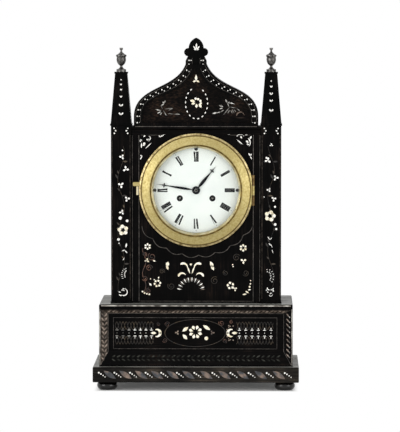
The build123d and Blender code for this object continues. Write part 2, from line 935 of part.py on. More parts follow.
centre_place = (0.0, 0.0)
strike_barrel_place, going_barrel_place = winding_places()
barrel_reach = math.hypot(winding_spread, winding_drop)
barrel_module = 2 * barrel_reach / (barrel_teeth + centre_pinion_teeth)
third_place = step_from(centre_place, third_bearing, centre_module * (centre_teeth + third_pinion_teeth) / 2)
escape_reach = third_module * (third_teeth + escape_pinion_teeth) / 2
escape_place = (0.0, third_place[1] + math.sqrt(escape_reach**2 - third_place[0] ** 2))
pallet_place = (0.0, escape_place[1] + pallet_drop)
strike_reach = barrel_module * (barrel_teeth + strike_pinion_teeth) / 2
strike_place = step_from(strike_barrel_place, strike_bearing, strike_reach)
pin_place = step_from(strike_place, pin_bearing, strike_module * (strike_teeth + pin_pinion_teeth) / 2)
fly_place = step_from(pin_place, fly_bearing, pin_module * (pin_teeth + fly_pinion_teeth) / 2)
minute_wheel_place = (0.0, minute_wheel_rise)
hammer_place = step_from(centre_place, hammer_bearing, hammer_spread)
cannon_module = 2 * minute_wheel_rise / (cannon_teeth + minute_wheel_teeth)
hour_module = 2 * minute_wheel_rise / (minute_pinion_teeth + hour_wheel_teeth)

# Movement: planes of the wheels, from the front plate to the back
barrel_front = plate_back + barrel_gap
barrel_back = barrel_front + barrel_drum_length + barrel_wheel_thickness
first_wheel_plane = barrel_back + wheel_gap
second_wheel_plane = first_wheel_plane + wheel_thickness + wheel_gap
escape_plane = (barrel_front + barrel_back) / 2


def gear_face(teeth, module):
    """Clock wheel outline with narrow pointed teeth, one of them on +X."""
    root = module * (teeth / 2 - tooth_dedendum)
    tip = module * (teeth / 2 + tooth_addendum)
    half_root = tooth_root_share * math.pi / teeth
    points = []
    for tooth in range(teeth):
        angle = tooth * 2 * math.pi / teeth
        for radius, turned in ((root, angle - half_root), (tip, angle), (root, angle + half_root)):
            points.append((radius * math.cos(turned), radius * math.sin(turned)))
    return polygon(points)


def saw_face(teeth, tip, depth):
    """Wheel outline with raked teeth, for the escape wheel and the ratchets."""
    pitch = 2 * math.pi / teeth
    points = []
    for tooth in range(teeth):
        foot = tooth * pitch
        point = foot + saw_rake_share * pitch
        points.append(((tip - depth) * math.cos(foot), (tip - depth) * math.sin(foot)))
        points.append((tip * math.cos(point), tip * math.sin(point)))
    return polygon(points)


def crossed(face, rim_radius):
    """Wheel with four spokes, cut out between its hub and its rim."""
    spokes = Rectangle(2 * rim_radius, wheel_spoke) + Rectangle(wheel_spoke, 2 * rim_radius)
    return face - (Circle(rim_radius) - Circle(wheel_hub) - spokes)


def wheel_face(teeth, module):
    """Crossed-out clock wheel."""
    return crossed(gear_face(teeth, module), module * (teeth / 2 - tooth_dedendum) - wheel_rim)


def on_arbor(place, face, y_front, y_back, phase=0.0):
    """Wheel or pinion at a place of the movement, turned into mesh."""
    return slice_front(Rot(0, 0, phase) * face, y_front, y_back, place[0], dial_z + place[1])


def arbor(place, radius, y_front, y_back):
    """Round arbor at a place of the movement."""
    return bar(radius, y_front, y_back, place[0], dial_z + place[1])


def pinion(place, teeth, module, plane, phase):
    """Pinion whose leaves reach past both sides of the wheel in the given plane."""
    margin = (pinion_length - wheel_thickness) / 2
    return on_arbor(place, gear_face(teeth, module), plane - margin, plane + wheel_thickness + margin, phase)


def train_arbor(place):
    """Arbor between the plates with a thinner pivot in each."""
    body = arbor(place, arbor_radius, plate_back + fit_clearance, rear_plate_front - fit_clearance)
    return body + arbor(place, pivot_radius, plate_front, rear_plate_back)


def make_plate(holes, y_front, y_back):
    """Round movement plate with its pivot holes, given as (place, shaft radius)."""
    face = Circle(plate_radius)
    for place, radius in holes:
        face = face - Pos(*place) * Circle(radius + running_clearance)
    return slice_front(face, y_front, y_back)


train_pivots = [
    (third_place, pivot_radius),
    (escape_place, pivot_radius),
    (pin_place, pivot_radius),
    (fly_place, pivot_radius),
]


def make_front_plate():
    """Plate behind the dial, with the stud of the minute wheel."""
    holes = train_pivots + [
        (centre_place, centre_post_radius),
        (strike_barrel_place, barrel_pivot_radius),
        (going_barrel_place, barrel_pivot_radius),
        (pallet_place, pivot_radius),
        (strike_place, pivot_radius),
        (hammer_place, pivot_radius),
    ]
    plate = make_plate(holes, plate_front, plate_back)
    return plate + arbor(minute_wheel_place, stud_radius, hour_wheel_front, plate_front)


def make_back_plate():
    """Plate that carries the cock, the bell stand, the crutch and the count wheel."""
    holes = train_pivots + [
        (centre_place, pivot_radius),
        (strike_barrel_place, barrel_pivot_radius),
        (going_barrel_place, barrel_pivot_radius),
        (pallet_place, arbor_radius),
        (strike_place, arbor_radius),
        (hammer_place, arbor_radius),
    ]
    return make_plate(holes, rear_plate_front, rear_plate_back)


def make_pillars():
    """Four turned pillars between the plates and four feet between the plate and the dial."""
    pieces = []
    profile = [
        (0, 0),
        (pillar_radius, 0),
        (pillar_radius, pillar_end),
        (pillar_waist_radius, 2 * pillar_end),
        (pillar_waist_radius, plate_gap - 2 * pillar_end),
        (pillar_radius, plate_gap - pillar_end),
        (pillar_radius, plate_gap),
        (0, plate_gap),
    ]
    for bearing in pillar_bearings:
        x, z = step_from(centre_place, bearing, pillar_spread)
        pieces.append(to_front(turn_points(profile), rear_plate_front, x, dial_z + z))
    for bearing in dial_foot_bearings:
        place = step_from(centre_place, bearing, dial_foot_spread)
        pieces.append(arbor(place, dial_foot_radius, dial_back, plate_front))
    return pieces


def make_straps():
    """Two flat straps that draw the dial ring and the back board together."""
    inner = strap_spread - strap_thickness / 2
    outer = strap_spread + strap_thickness / 2
    front = dial_back + dial_ring_wall
    half = strap_width / 2
    right = box(inner, outer, front, back_board_front, dial_z - half, dial_z + half)
    return [mirrored(right), right]


def make_barrel(place, wheel_first):
    """Spring barrel: a closed drum with its toothed great wheel at one end."""
    if wheel_first:
        wheel_front = barrel_front
        drum_front = barrel_front + barrel_wheel_thickness
    else:
        wheel_front = barrel_back - barrel_wheel_thickness
        drum_front = barrel_front
    wheel = on_arbor(
        place, gear_face(barrel_teeth, barrel_module), wheel_front, wheel_front + barrel_wheel_thickness
    )
    drum = arbor(place, barrel_drum_radius, drum_front, drum_front + barrel_drum_length)
    bore = arbor(place, barrel_arbor_radius + running_clearance, barrel_front, barrel_back)
    return wheel + drum - bore


def make_winding_arbor(place):
    """Barrel arbor: winding square, ratchet wheel, body in the barrel and rear pivot."""
    ratchet_back = plate_front - fit_clearance
    ratchet_front = ratchet_back - ratchet_thickness
    square_face = Rectangle(winding_square, winding_square)
    square = on_arbor(place, square_face, dial_front + dial_setback, ratchet_back)
    ratchet_face = saw_face(ratchet_teeth, ratchet_radius, ratchet_tooth_depth)
    ratchet = on_arbor(place, ratchet_face, ratchet_front, ratchet_back)
    pivot = arbor(place, barrel_pivot_radius, ratchet_front, rear_plate_back)
    body = arbor(place, barrel_arbor_radius, plate_back + fit_clearance, rear_plate_front - fit_clearance)
    return square + ratchet + pivot + body


def make_centre_wheel():
    """Centre arbor: pinion driven by the going barrel, crossed wheel and long front post."""
    bearing = bearing_between(going_barrel_place, centre_place)
    phase = mesh_phase(0.0, barrel_teeth, bearing, centre_pinion_teeth)
    great_wheel_plane = barrel_back - barrel_wheel_thickness
    shaft = train_arbor(centre_place)
    post = arbor(centre_place, centre_post_radius, minute_hand_back + hand_gap, first_wheel_plane)
    leaves = pinion(centre_place, centre_pinion_teeth, barrel_module, great_wheel_plane, phase)
    face = wheel_face(centre_teeth, centre_module)
    wheel = on_arbor(centre_place, face, first_wheel_plane, first_wheel_plane + wheel_thickness)
    return shaft + post + leaves + wheel


def make_third_wheel():
    """Third arbor: pinion driven by the centre wheel, and its wheel."""
    phase = mesh_phase(0.0, centre_teeth, third_bearing, third_pinion_teeth)
    leaves = pinion(third_place, third_pinion_teeth, centre_module, first_wheel_plane, phase)
    face = wheel_face(third_teeth, third_module)
    wheel = on_arbor(third_place, face, second_wheel_plane, second_wheel_plane + wheel_thickness)
    return train_arbor(third_place) + leaves + wheel


def make_escape_wheel():
    """Escape arbor: pinion driven by the third wheel, and the raked escape wheel."""
    bearing = bearing_between(third_place, escape_place)
    phase = mesh_phase(0.0, third_teeth, bearing, escape_pinion_teeth)
    leaves = pinion(escape_place, escape_pinion_teeth, third_module, second_wheel_plane, phase)
    teeth = saw_face(escape_teeth, escape_radius, escape_tooth_depth)
    face = crossed(teeth, escape_radius - escape_tooth_depth - escape_rim)
    wheel = on_arbor(escape_place, face, escape_plane, escape_plane + wheel_thickness)
    return train_arbor(escape_place) + leaves + wheel


def make_anchor():
    """Pallet anchor over the escape wheel, with its arbor and the crutch behind the back plate."""
    inner = escape_radius + pallet_clearance
    outer = pallet_drop
    span = math.radians(pallet_span)
    wedge = polygon(
        [
            (0, 0),
            (2 * outer * math.sin(span), 2 * outer * math.cos(span)),
            (0, 3 * outer),
            (-2 * outer * math.sin(span), 2 * outer * math.cos(span)),
        ]
    )
    crescent = (Circle(outer) - Circle(inner)) & wedge
    hub = Pos(0, pallet_drop) * Circle(pallet_hub_radius)
    pallets = on_arbor(escape_place, crescent + hub, escape_plane, escape_plane + wheel_thickness)
    shaft = arbor(pallet_place, arbor_radius, plate_back + fit_clearance, crutch_back)
    shaft = shaft + arbor(pallet_place, pivot_radius, plate_front, plate_back + fit_clearance)
    top = dial_z + pallet_place[1]
    low = top - crutch_drop
    arm = box(-crutch_width / 2, crutch_width / 2, crutch_front, crutch_back, low, top)
    eye = arbor(pallet_place, pallet_hub_radius, crutch_front, crutch_back)
    fork_half = pendulum_rod_radius + 2 * crutch_thickness
    fork = box(-fork_half, fork_half, crutch_front, pendulum_plane + fork_half, low - crutch_width, low)
    slot = Pos(0, pendulum_plane, low) * Cylinder(pendulum_rod_radius + crutch_clearance, 4 * crutch_width)
    return pallets + shaft + arm + eye + (fork - slot)


def make_cock():
    """Suspension cock on the back plate, bored for the regulator arbor."""
    low = dial_z + pallet_place[1] + cock_rise
    high = dial_z + regulator_level + cock_thickness
    half = cock_width / 2
    block = box(-half, half, rear_plate_back, pendulum_plane + cock_thickness, low, high)
    bore_radius = regulator_radius + running_clearance
    bore = bar(bore_radius, rear_plate_back, case_back, 0.0, dial_z + regulator_level)
    return block - bore


def make_regulator():
    """Thin arbor from above XII to the suspension cock."""
    back = pendulum_plane + cock_thickness
    return bar(regulator_radius, dial_front + dial_setback / 2, back, 0.0, dial_z + regulator_level)


pivot_z = dial_z + pallet_place[1]
rod_bottom = plinth_top + pendulum_clearance
bob_z = rod_bottom + 2 * rating_nut_height + bob_radius


def make_pendulum_rod():
    """Suspension spring, round rod and rating nut under the bob."""
    spring_top = pivot_z + cock_rise - hinge_gap
    spring_bottom = spring_top - suspension_length
    half = suspension_width / 2
    thin = suspension_thickness / 2
    spring = box(-half, half, pendulum_plane - thin, pendulum_plane + thin, spring_bottom, spring_top)
    nut_top = bob_z - bob_radius
    rod = Pos(0, pendulum_plane, (spring_bottom + rod_bottom) / 2)
    rod = rod * Cylinder(pendulum_rod_radius, spring_bottom - rod_bottom)
    ferrule = Pos(0, pendulum_plane, spring_bottom) * Cylinder(half, suspension_width)
    nut_middle = Pos(0, pendulum_plane, nut_top - rating_nut_height / 2)
    nut = nut_middle * Cylinder(rating_nut_radius, rating_nut_height)
    return spring + rod + ferrule + nut


def make_bob():
    """Lens-shaped bob, bored for the rod."""
    half = bob_thickness / 2
    face = dome_arc(bob_radius, bob_edge / 2, half - bob_edge / 2)
    rim = Polyline((bob_radius, bob_edge / 2), (bob_radius, 0), (0, 0), (0, half))
    cap = turn([face, rim])
    lens = to_front(cap + mirror(cap, about=Plane.XY), pendulum_plane, 0.0, bob_z)
    bore = Pos(0, pendulum_plane, bob_z) * Cylinder(pendulum_rod_radius + running_clearance, 3 * bob_radius)
    return lens - bore


def make_cannon():
    """Cannon pinion: leaves behind, and a pipe out to the minute hand."""
    teeth = gear_face(cannon_teeth, cannon_module)
    leaves = on_arbor(centre_place, teeth, minute_wheel_front - fit_clearance, plate_front - fit_clearance)
    pipe = arbor(centre_place, cannon_radius, minute_hand_back, plate_front - fit_clearance)
    return leaves + pipe - arbor(centre_place, cannon_bore, minute_hand_back, plate_back)


def make_minute_wheel():
    """Minute wheel and its pinion, on the stud of the front plate."""
    bearing = bearing_between(centre_place, minute_wheel_place)
    phase = mesh_phase(0.0, cannon_teeth, bearing, minute_wheel_teeth)
    wheel = on_arbor(
        minute_wheel_place,
        gear_face(minute_wheel_teeth, cannon_module),
        minute_wheel_front,
        minute_wheel_front + wheel_thickness,
        phase,
    )
    leaves = on_arbor(
        minute_wheel_place, gear_face(minute_pinion_teeth, hour_module), hour_wheel_front, minute_wheel_front
    )
    bore = arbor(minute_wheel_place, stud_radius + running_clearance, hour_wheel_front, plate_front)
    return wheel + leaves - bore


def make_hour_wheel():
    """Hour wheel and its pipe out to the hour hand."""
    bearing = bearing_between(minute_wheel_place, centre_place)
    phase = mesh_phase(0.0, minute_pinion_teeth, bearing, hour_wheel_teeth)
    wheel = on_arbor(
        centre_place,
        gear_face(hour_wheel_teeth, hour_module),
        hour_wheel_front,
        hour_wheel_front + wheel_thickness,
        phase,
    )
    pipe = arbor(centre_place, hour_pipe_radius, hour_hand_back, hour_wheel_front + wheel_thickness)
    return wheel + pipe - arbor(centre_place, hour_bore, hour_hand_back, plate_front)


def make_strike_wheel():
    """Strike arbor: pinion driven by the strike barrel, and its wheel; it carries the count wheel behind."""
    phase = mesh_phase(0.0, barrel_teeth, strike_bearing, strike_pinion_teeth)
    leaves = pinion(strike_place, strike_pinion_teeth, barrel_module, barrel_front, phase)
    face = wheel_face(strike_teeth, strike_module)
    wheel = on_arbor(strike_place, face, first_wheel_plane, first_wheel_plane + wheel_thickness)
    shaft = arbor(strike_place, arbor_radius, plate_back + fit_clearance, count_wheel_front)
    shaft = shaft + arbor(strike_place, pivot_radius, plate_front, plate_back + fit_clearance)
    return shaft + leaves + wheel


def make_count_wheel():
    """Count wheel: a notch after each number of blows from one to twelve, with the half hours between."""
    notch = Pos(count_wheel_radius, 0) * Rectangle(2 * count_notch_depth, count_notch_width)
    face = Circle(count_wheel_radius)
    blows = 0
    all_blows = sum(hours + 1 for hours in range(1, last_hour + 1))
    for hours in range(1, last_hour + 1):
        blows += hours + 1
        face = face - Rot(0, 0, 360 * blows / all_blows) * notch
    return on_arbor(strike_place, face, count_wheel_front, count_wheel_front + wheel_thickness)


def make_pin_wheel():
    """Pin wheel, whose pins lift the hammer."""
    phase = mesh_phase(0.0, strike_teeth, pin_bearing, pin_pinion_teeth)
    leaves = pinion(pin_place, pin_pinion_teeth, strike_module, first_wheel_plane, phase)
    back = second_wheel_plane + wheel_thickness
    wheel = on_arbor(pin_place, wheel_face(pin_teeth, pin_module), second_wheel_plane, back)
    whole = train_arbor(pin_place) + leaves + wheel
    rim = pin_module * (pin_teeth / 2 - tooth_dedendum) - wheel_rim / 2
    for step in range(lifting_pins):
        place = step_from(pin_place, step * 360 / lifting_pins, rim)
        whole = whole + arbor(place, pivot_radius, back, back + wheel_gap)
    return whole


def make_fly():
    """Fly: a light vane that slows the strike."""
    phase = mesh_phase(0.0, pin_teeth, fly_bearing, fly_pinion_teeth)
    leaves = pinion(fly_place, fly_pinion_teeth, pin_module, second_wheel_plane, phase)
    vane_front = barrel_front + wheel_gap
    vane = Rectangle(2 * fly_span, fly_thickness)
    return train_arbor(fly_place) + leaves + on_arbor(fly_place, vane, vane_front, vane_front + fly_length)


def hammer_head_place():
    """Where the hammer's head stands: off the bell's rim, one arm's length from its arbor."""
    ring = bell_radius + hammer_clearance + hammer_head_radius
    along = (ring**2 - hammer_arm**2 + hammer_spread**2) / (2 * hammer_spread)
    across = math.sqrt(ring**2 - along**2)
    foot = step_from(centre_place, hammer_bearing, along)
    return step_from(foot, hammer_bearing + 90, across)


def make_hammer():
    """Hammer: arbor between the plates, arm behind them and a round head beside the bell."""
    head_x, head_z = hammer_head_place()
    head_front = bell_mouth - hammer_head_length / 4
    head = bar(hammer_head_radius, head_front, head_front + hammer_head_length, head_x, dial_z + head_z)
    arm_front = head_front + hammer_head_length / 4
    arm = Pos(hammer_arm / 2, 0) * Rectangle(hammer_arm, crutch_width)
    bearing = bearing_between(hammer_place, (head_x, head_z))
    blade = on_arbor(hammer_place, arm, arm_front, arm_front + crutch_thickness, bearing)
    shaft = arbor(hammer_place, arbor_radius, plate_back + fit_clearance, arm_front + crutch_thickness)
    shaft = shaft + arbor(hammer_place, pivot_radius, plate_front, plate_back + fit_clearance)
    eye = arbor(hammer_place, 2 * arbor_radius, arm_front, arm_front + crutch_thickness)
    return head + blade + shaft + eye


def make_bell():
    """Bell: a thin dome with its mouth towards the plate and a hole for the stud."""
    hole = bell_stud_radius + running_clearance
    inner = bell_radius - bell_wall
    inner_top = bell_height - bell_wall
    sweeps = []
    for radius, top in ((bell_radius, bell_height), (inner, inner_top)):
        waist = (radius * bell_waist_share, top * bell_waist_level)
        shoulder = (radius * bell_shoulder_share, top)
        sweeps.append(Bezier((radius, 0), waist, shoulder, (bell_flat_radius, top)))
    lip = Line((inner, 0), (bell_radius, 0))
    crown = Polyline(
        (bell_flat_radius, inner_top), (hole, inner_top), (hole, bell_height), (bell_flat_radius, bell_height)
    )
    return Pos(0, bell_mouth, dial_z) * Rot(-90, 0, 0) * turn(sweeps + [lip, crown])


def make_bell_stand():
    """Bell stand: a post on the back plate, an arm to the middle and a stud with its nut."""
    place = step_from(centre_place, bell_post_bearing, bell_post_spread)
    arm_front = bell_mouth + bell_height * bell_arm_level
    arm_back = arm_front + 2 * crutch_thickness
    post = arbor(place, bell_post_radius, rear_plate_back, arm_back)
    strip = Pos(bell_post_spread / 2, 0) * Rectangle(bell_post_spread, 2 * bell_post_radius)
    arm = on_arbor(centre_place, strip, arm_front, arm_back, bell_post_bearing)
    bell_top = bell_mouth + bell_height
    shoulder = arbor(centre_place, 2 * bell_stud_radius, arm_front, bell_top - bell_wall)
    stud = arbor(centre_place, bell_stud_radius, arm_front, bell_top)
    nut = arbor(centre_place, bell_nut_radius, bell_top, bell_top + bell_nut_height)
    return post + arm + shoulder + stud + nut


# Every piece under its own name

right_tower = make_tower()
right_spire = make_spire()
right_urn = make_urn()

pieces = {
    "bun_feet": make_feet(),
    "base_slab": make_slab(),
    "plinth_front_frame": make_plinth_frame(),
    "plinth_front_panel": make_plinth_panel(),
    "plinth_boards": make_plinth_boards(),
    "plinth_top": make_plinth_top(),
    "tower_left": mirrored(right_tower),
    "tower_right": right_tower,
    "spire_left": mirrored(right_spire),
    "spire_right": right_spire,
    "urn_left": mirrored(right_urn),
    "urn_right": right_urn,
    "case_sides": make_case_sides(),
    "dial_panel": make_dial_panel(),
    "dial_stiles": make_stiles(),
    "cornice_rail": make_cornice(),
    "case_top": make_case_top(),
    "pediment_board": make_pediment_board(),
    "pediment_moulding": make_pediment_moulding(),
    "palmette_finial": make_palmette(),
    "back_board": make_back_board(),
    "back_ring": make_back_ring(),
    "back_door": make_back_door(),
    "back_door_knob": make_door_knob(),
    "dial_ring": make_dial_ring(),
    "bezel_ring": make_bezel_ring(),
    "bezel_glass": make_glass(),
    "sight_ring": make_sight_ring(),
    "bezel_tab": make_tab(),
    "bezel_catch": make_catch(),
    "hinge_pins": make_hinge_pins(),
    "dial_plate": make_dial(),
    "hour_hand": make_hour_hand(),
    "minute_hand": make_minute_hand(),
    "cannon_pinion": make_cannon(),
    "minute_wheel": make_minute_wheel(),
    "hour_wheel": make_hour_wheel(),
    "front_plate": make_front_plate(),
    "back_plate": make_back_plate(),
    "pillars": make_pillars(),
    "case_straps": make_straps(),
    "going_barrel": make_barrel(going_barrel_place, wheel_first=False),
    "going_winding_arbor": make_winding_arbor(going_barrel_place),
    "strike_barrel": make_barrel(strike_barrel_place, wheel_first=True),
    "strike_winding_arbor": make_winding_arbor(strike_barrel_place),
    "centre_wheel": make_centre_wheel(),
    "third_wheel": make_third_wheel(),
    "escape_wheel": make_escape_wheel(),
    "pallet_anchor": make_anchor(),
    "suspension_cock": make_cock(),
    "regulator_arbor": make_regulator(),
    "pendulum_rod": make_pendulum_rod(),
    "pendulum_bob": make_bob(),
    "strike_wheel": make_strike_wheel(),
    "count_wheel": make_count_wheel(),
    "pin_wheel": make_pin_wheel(),
    "fly": make_fly(),
    "hammer": make_hammer(),
    "bell": make_bell(),
    "bell_stand": make_bell_stand(),
}

os.makedirs("parts", exist_ok=True)
for name, shape in pieces.items():
    if isinstance(shape, list):
        shape = Compound(shape)
    export_step(shape, f"parts/{name}.step")
    print(name)
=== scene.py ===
# %% [markdown]
# Gothic mantel clock. The solids of the case, the bezel, the hands and the movement come from the packed
# CAD part, already in place and in metres. This file only dresses them: finishes, inlay, dial figures and
# light. Front is -Y, up is +Z, and the clock stands on the floor at Z = 0.

# %% Load the frame
import json
import math

import bpy
import bmesh
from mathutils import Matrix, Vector


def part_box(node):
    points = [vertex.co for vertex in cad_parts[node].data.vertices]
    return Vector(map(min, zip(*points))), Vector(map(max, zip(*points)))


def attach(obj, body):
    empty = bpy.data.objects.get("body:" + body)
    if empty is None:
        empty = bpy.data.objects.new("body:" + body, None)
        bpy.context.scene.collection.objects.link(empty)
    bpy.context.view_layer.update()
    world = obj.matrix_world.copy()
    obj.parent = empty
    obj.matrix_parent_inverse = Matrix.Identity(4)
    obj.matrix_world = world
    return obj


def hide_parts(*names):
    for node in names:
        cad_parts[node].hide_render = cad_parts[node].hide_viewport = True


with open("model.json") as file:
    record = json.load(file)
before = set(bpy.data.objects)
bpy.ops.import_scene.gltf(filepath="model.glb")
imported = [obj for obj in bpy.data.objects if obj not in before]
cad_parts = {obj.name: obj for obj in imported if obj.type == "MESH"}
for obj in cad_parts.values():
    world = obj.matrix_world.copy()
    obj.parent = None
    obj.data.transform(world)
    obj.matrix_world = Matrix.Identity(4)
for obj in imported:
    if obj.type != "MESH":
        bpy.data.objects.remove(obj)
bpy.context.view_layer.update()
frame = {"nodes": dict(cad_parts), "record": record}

scene = bpy.context.scene
nodes = frame["nodes"]

# %% [markdown]
# Lengths on a clock are thought of in millimetres, and colours are written as the hex values that a
# picture editor shows. Blender wants metres and linear colours, so two small functions translate. A third
# one adds a node to any node tree, sets its properties and links its sockets, and serves shaders and
# geometry alike.

# %% Small helpers
MM = 0.001
X, Y, Z = range(3)


def linear(code):
    """Hex sRGB colour as linear RGBA."""
    channels = [int(code[i:i + 2], 16) / 255 for i in (0, 2, 4)]
    return [c / 12.92 if c <= 0.04045 else ((c + 0.055) / 1.055) ** 2.4 for c in channels] + [1.0]


def add(tree, kind, inputs=None, stops=None, **settings):
    """Add a node. Inputs are sockets by name or number, given as a value or as another node's output.
    Stops are the (position, hex colour) pairs of a colour ramp."""
    made = tree.nodes.new(kind)
    for name, value in settings.items():
        setattr(made, name, value)
    if stops:
        elements = made.color_ramp.elements
        while len(elements) < len(stops):
            elements.new(stops[-1][0])
        for element, (position, code) in zip(elements, stops):
            element.position = position
            element.color = linear(code)
    for name, value in (inputs or {}).items():
        socket = made.inputs[name]
        if isinstance(value, bpy.types.NodeSocket):
            tree.links.new(value, socket)
        else:
            socket.default_value = value
    return made


def per_mm(size_mm):
    """Texture scale that gives one feature each so many millimetres."""
    return 1 / (size_mm * MM)


print("helpers ready")

# %% [markdown]
# Nearly every finish ends in the same two nodes, a Principled shader and the output, and starts from
# Object coordinates, which sit still on the piece. One function makes that shell and hands back the tree,
# the shader and the coordinates, so that each finish below only says what is special about it. The glass
# and the floor mix their shaders in another way, so they start from the bare tree.

# %% Shell of a finish
def bare_finish(name):
    """Material with an empty tree; returns material, tree and object coordinates."""
    material = bpy.data.materials.new(name)
    material.use_nodes = True
    tree = material.node_tree
    tree.nodes.clear()
    return material, tree, add(tree, "ShaderNodeTexCoord").outputs["Object"]


def new_finish(name, roughness, metallic=0.0, ior=1.5):
    """Material with a Principled shader; returns material, tree, shader and object coordinates."""
    material, tree, place = bare_finish(name)
    shader = add(tree, "ShaderNodeBsdfPrincipled", {
        "Roughness": roughness, "Metallic": metallic, "IOR": ior})
    add(tree, "ShaderNodeOutputMaterial", {"Surface": shader.outputs["BSDF"]})
    return material, tree, shader, place


print("shell ready")

# %% [markdown]
# Ebonised wood is pearwood or rosewood stained black and French polished. The grain shows as slightly
# lighter, warmer streaks along each board, worn places go brown, and the shellac gives a soft gloss with
# fine unevenness. Boards run upwards in the case and sideways in the base, so the streaks are stretched
# along one axis or the other. The pediment's burr has short streaks, the slab has faded, the tops of the
# slab and the plinth are pale grey as a painted reflection of the room, the feet are waxed, and rubbed
# places are brown. Real pores are too fine to show at this size, so the grain is drawn coarser.

# %% Ebonised wood
GRAIN_WIDTH_MM = 1.6
GRAIN_LENGTH_MM = 45.0
BURR_LENGTH_MM = 4.0
WEAR_MM = 38.0
GRAIN_DEPTH_MM = 0.1
SHELLAC_SHINE, WAX_SHINE = 0.04, 0.4
NOISE_LOW, NOISE_HIGH = 0.3, 0.7
GLOSSIER, DULLER = 0.08, 0.12
# Painted reflection: over the level tops of the slab and the plinth the colour fades to pale grey.
TOP_SHEEN_FADE_MM = 0.3
TOP_SHEEN_COVER = 0.85
TOP_SHEEN_STOPS = [(0.36, "575753"), (0.50, "84847f"), (0.64, "b0b0aa")]
UPWARDS, SIDEWAYS = Z, X


def ebonised(name, along, stops, roughness=0.34, shine=SHELLAC_SHINE, sheen_above_z=None,
             length=GRAIN_LENGTH_MM):
    """Black polished wood with its grain along an axis; above a height in millimetres a painted pale
    reflection covers it.
    """
    material, tree, shader, place = new_finish(name, roughness)
    shader.inputs["Specular IOR Level"].default_value = shine
    scales = [per_mm(GRAIN_WIDTH_MM)] * 3
    scales[along] = per_mm(length)
    stretched = add(tree, "ShaderNodeMapping", {"Vector": place, "Scale": scales}).outputs["Vector"]
    streak = add(tree, "ShaderNodeTexNoise", {
        "Vector": stretched, "Scale": 1.0, "Detail": 5.0, "Roughness": 0.6}).outputs["Fac"]
    wear = add(tree, "ShaderNodeTexNoise", {
        "Vector": place, "Scale": per_mm(WEAR_MM), "Detail": 4.0, "Roughness": 0.62}).outputs["Fac"]
    both = add(tree, "ShaderNodeMath", {0: streak, 1: wear}, operation="MULTIPLY").outputs[0]
    colour = add(tree, "ShaderNodeValToRGB", {"Fac": both}, stops).outputs["Color"]
    # Painted reflection of the room: above the height the colour turns pale grey.
    if sheen_above_z:
        height = add(tree, "ShaderNodeSeparateXYZ", {"Vector": place}).outputs["Z"]
        sheen_share = add(tree, "ShaderNodeMapRange", {
            "Value": height, "From Min": (sheen_above_z - TOP_SHEEN_FADE_MM) * MM, "From Max": sheen_above_z * MM,
            "To Min": 0.0, "To Max": TOP_SHEEN_COVER}).outputs["Result"]
        top_sheen = add(tree, "ShaderNodeValToRGB", {"Fac": streak}, TOP_SHEEN_STOPS).outputs["Color"]
        # A mix of colours has its two colours on sockets 6 and 7 and its result on output 2
        colour = add(tree, "ShaderNodeMix", {
            "Factor": sheen_share, 6: colour, 7: top_sheen}, data_type="RGBA").outputs[2]
    tree.links.new(colour, shader.inputs["Base Color"])
    gloss = add(tree, "ShaderNodeMapRange", {
        "Value": wear, "From Min": NOISE_LOW, "From Max": NOISE_HIGH,
        "To Min": roughness - GLOSSIER, "To Max": roughness + DULLER})
    tree.links.new(gloss.outputs["Result"], shader.inputs["Roughness"])
    relief = add(tree, "ShaderNodeBump", {
        "Height": streak, "Strength": 0.25, "Distance": GRAIN_DEPTH_MM * MM})
    tree.links.new(relief.outputs["Normal"], shader.inputs["Normal"])
    return material


BLACK_STOPS = [(0.19, "020202"), (0.29, "060505"), (0.38, "110d0b"), (0.50, "2c2019")]
BURR_STOPS = [(0.18, "030303"), (0.26, "0b0807"), (0.33, "19120e"), (0.44, "33251c")]
SLAB_STOPS = [(0.16, "131211"), (0.24, "201e1c"), (0.32, "302c27"), (0.44, "4d443b")]
WORN_STOPS = [(0.12, "1c1613"), (0.20, "453a33"), (0.28, "73645a"), (0.40, "a39485")]
PLINTH_TOP_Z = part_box("plinth_top")[1].z / MM
SLAB_TOP_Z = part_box("base_slab")[1].z / MM
upright_wood = ebonised("Ebonised pearwood, French polished, upright", UPWARDS, BLACK_STOPS)
level_wood = ebonised("Ebonised pearwood, French polished, level", SIDEWAYS, BLACK_STOPS)
burr_wood = ebonised("Ebonised burr veneer, stain faded", SIDEWAYS, BURR_STOPS, length=BURR_LENGTH_MM)
plinth_wood = ebonised("Ebonised pearwood, painted reflection on the plinth top", SIDEWAYS, BLACK_STOPS, sheen_above_z=PLINTH_TOP_Z)
slab_wood = ebonised("Ebonised pearwood, faded, dusty slab top", SIDEWAYS, SLAB_STOPS, sheen_above_z=SLAB_TOP_Z)
foot_wood = ebonised(
    "Ebonised pearwood, turned and waxed", SIDEWAYS, BLACK_STOPS, roughness=0.2, shine=WAX_SHINE)
worn_wood = ebonised("Rosewood, carved, stain rubbed off", SIDEWAYS, WORN_STOPS, roughness=0.42)
woods = (upright_wood, level_wood, burr_wood, plinth_wood, slab_wood, foot_wood, worn_wood)
print("woods", [material.name for material in woods])

# %% [markdown]
# The metals. Gilt brass is soft yellow and slightly grainy, because mercury gilding was left matt and
# then wore in patches. Movement brass is cleaner and lacquered. The urns are cast in a grey-brown bronze
# whose hollows keep dark patina. Steel is polished, and the hands were heated until they turned nearly
# black blue.

# %% Metals
BURNISH = 0.04
PATCH_EDGES = (0.34, 0.62)


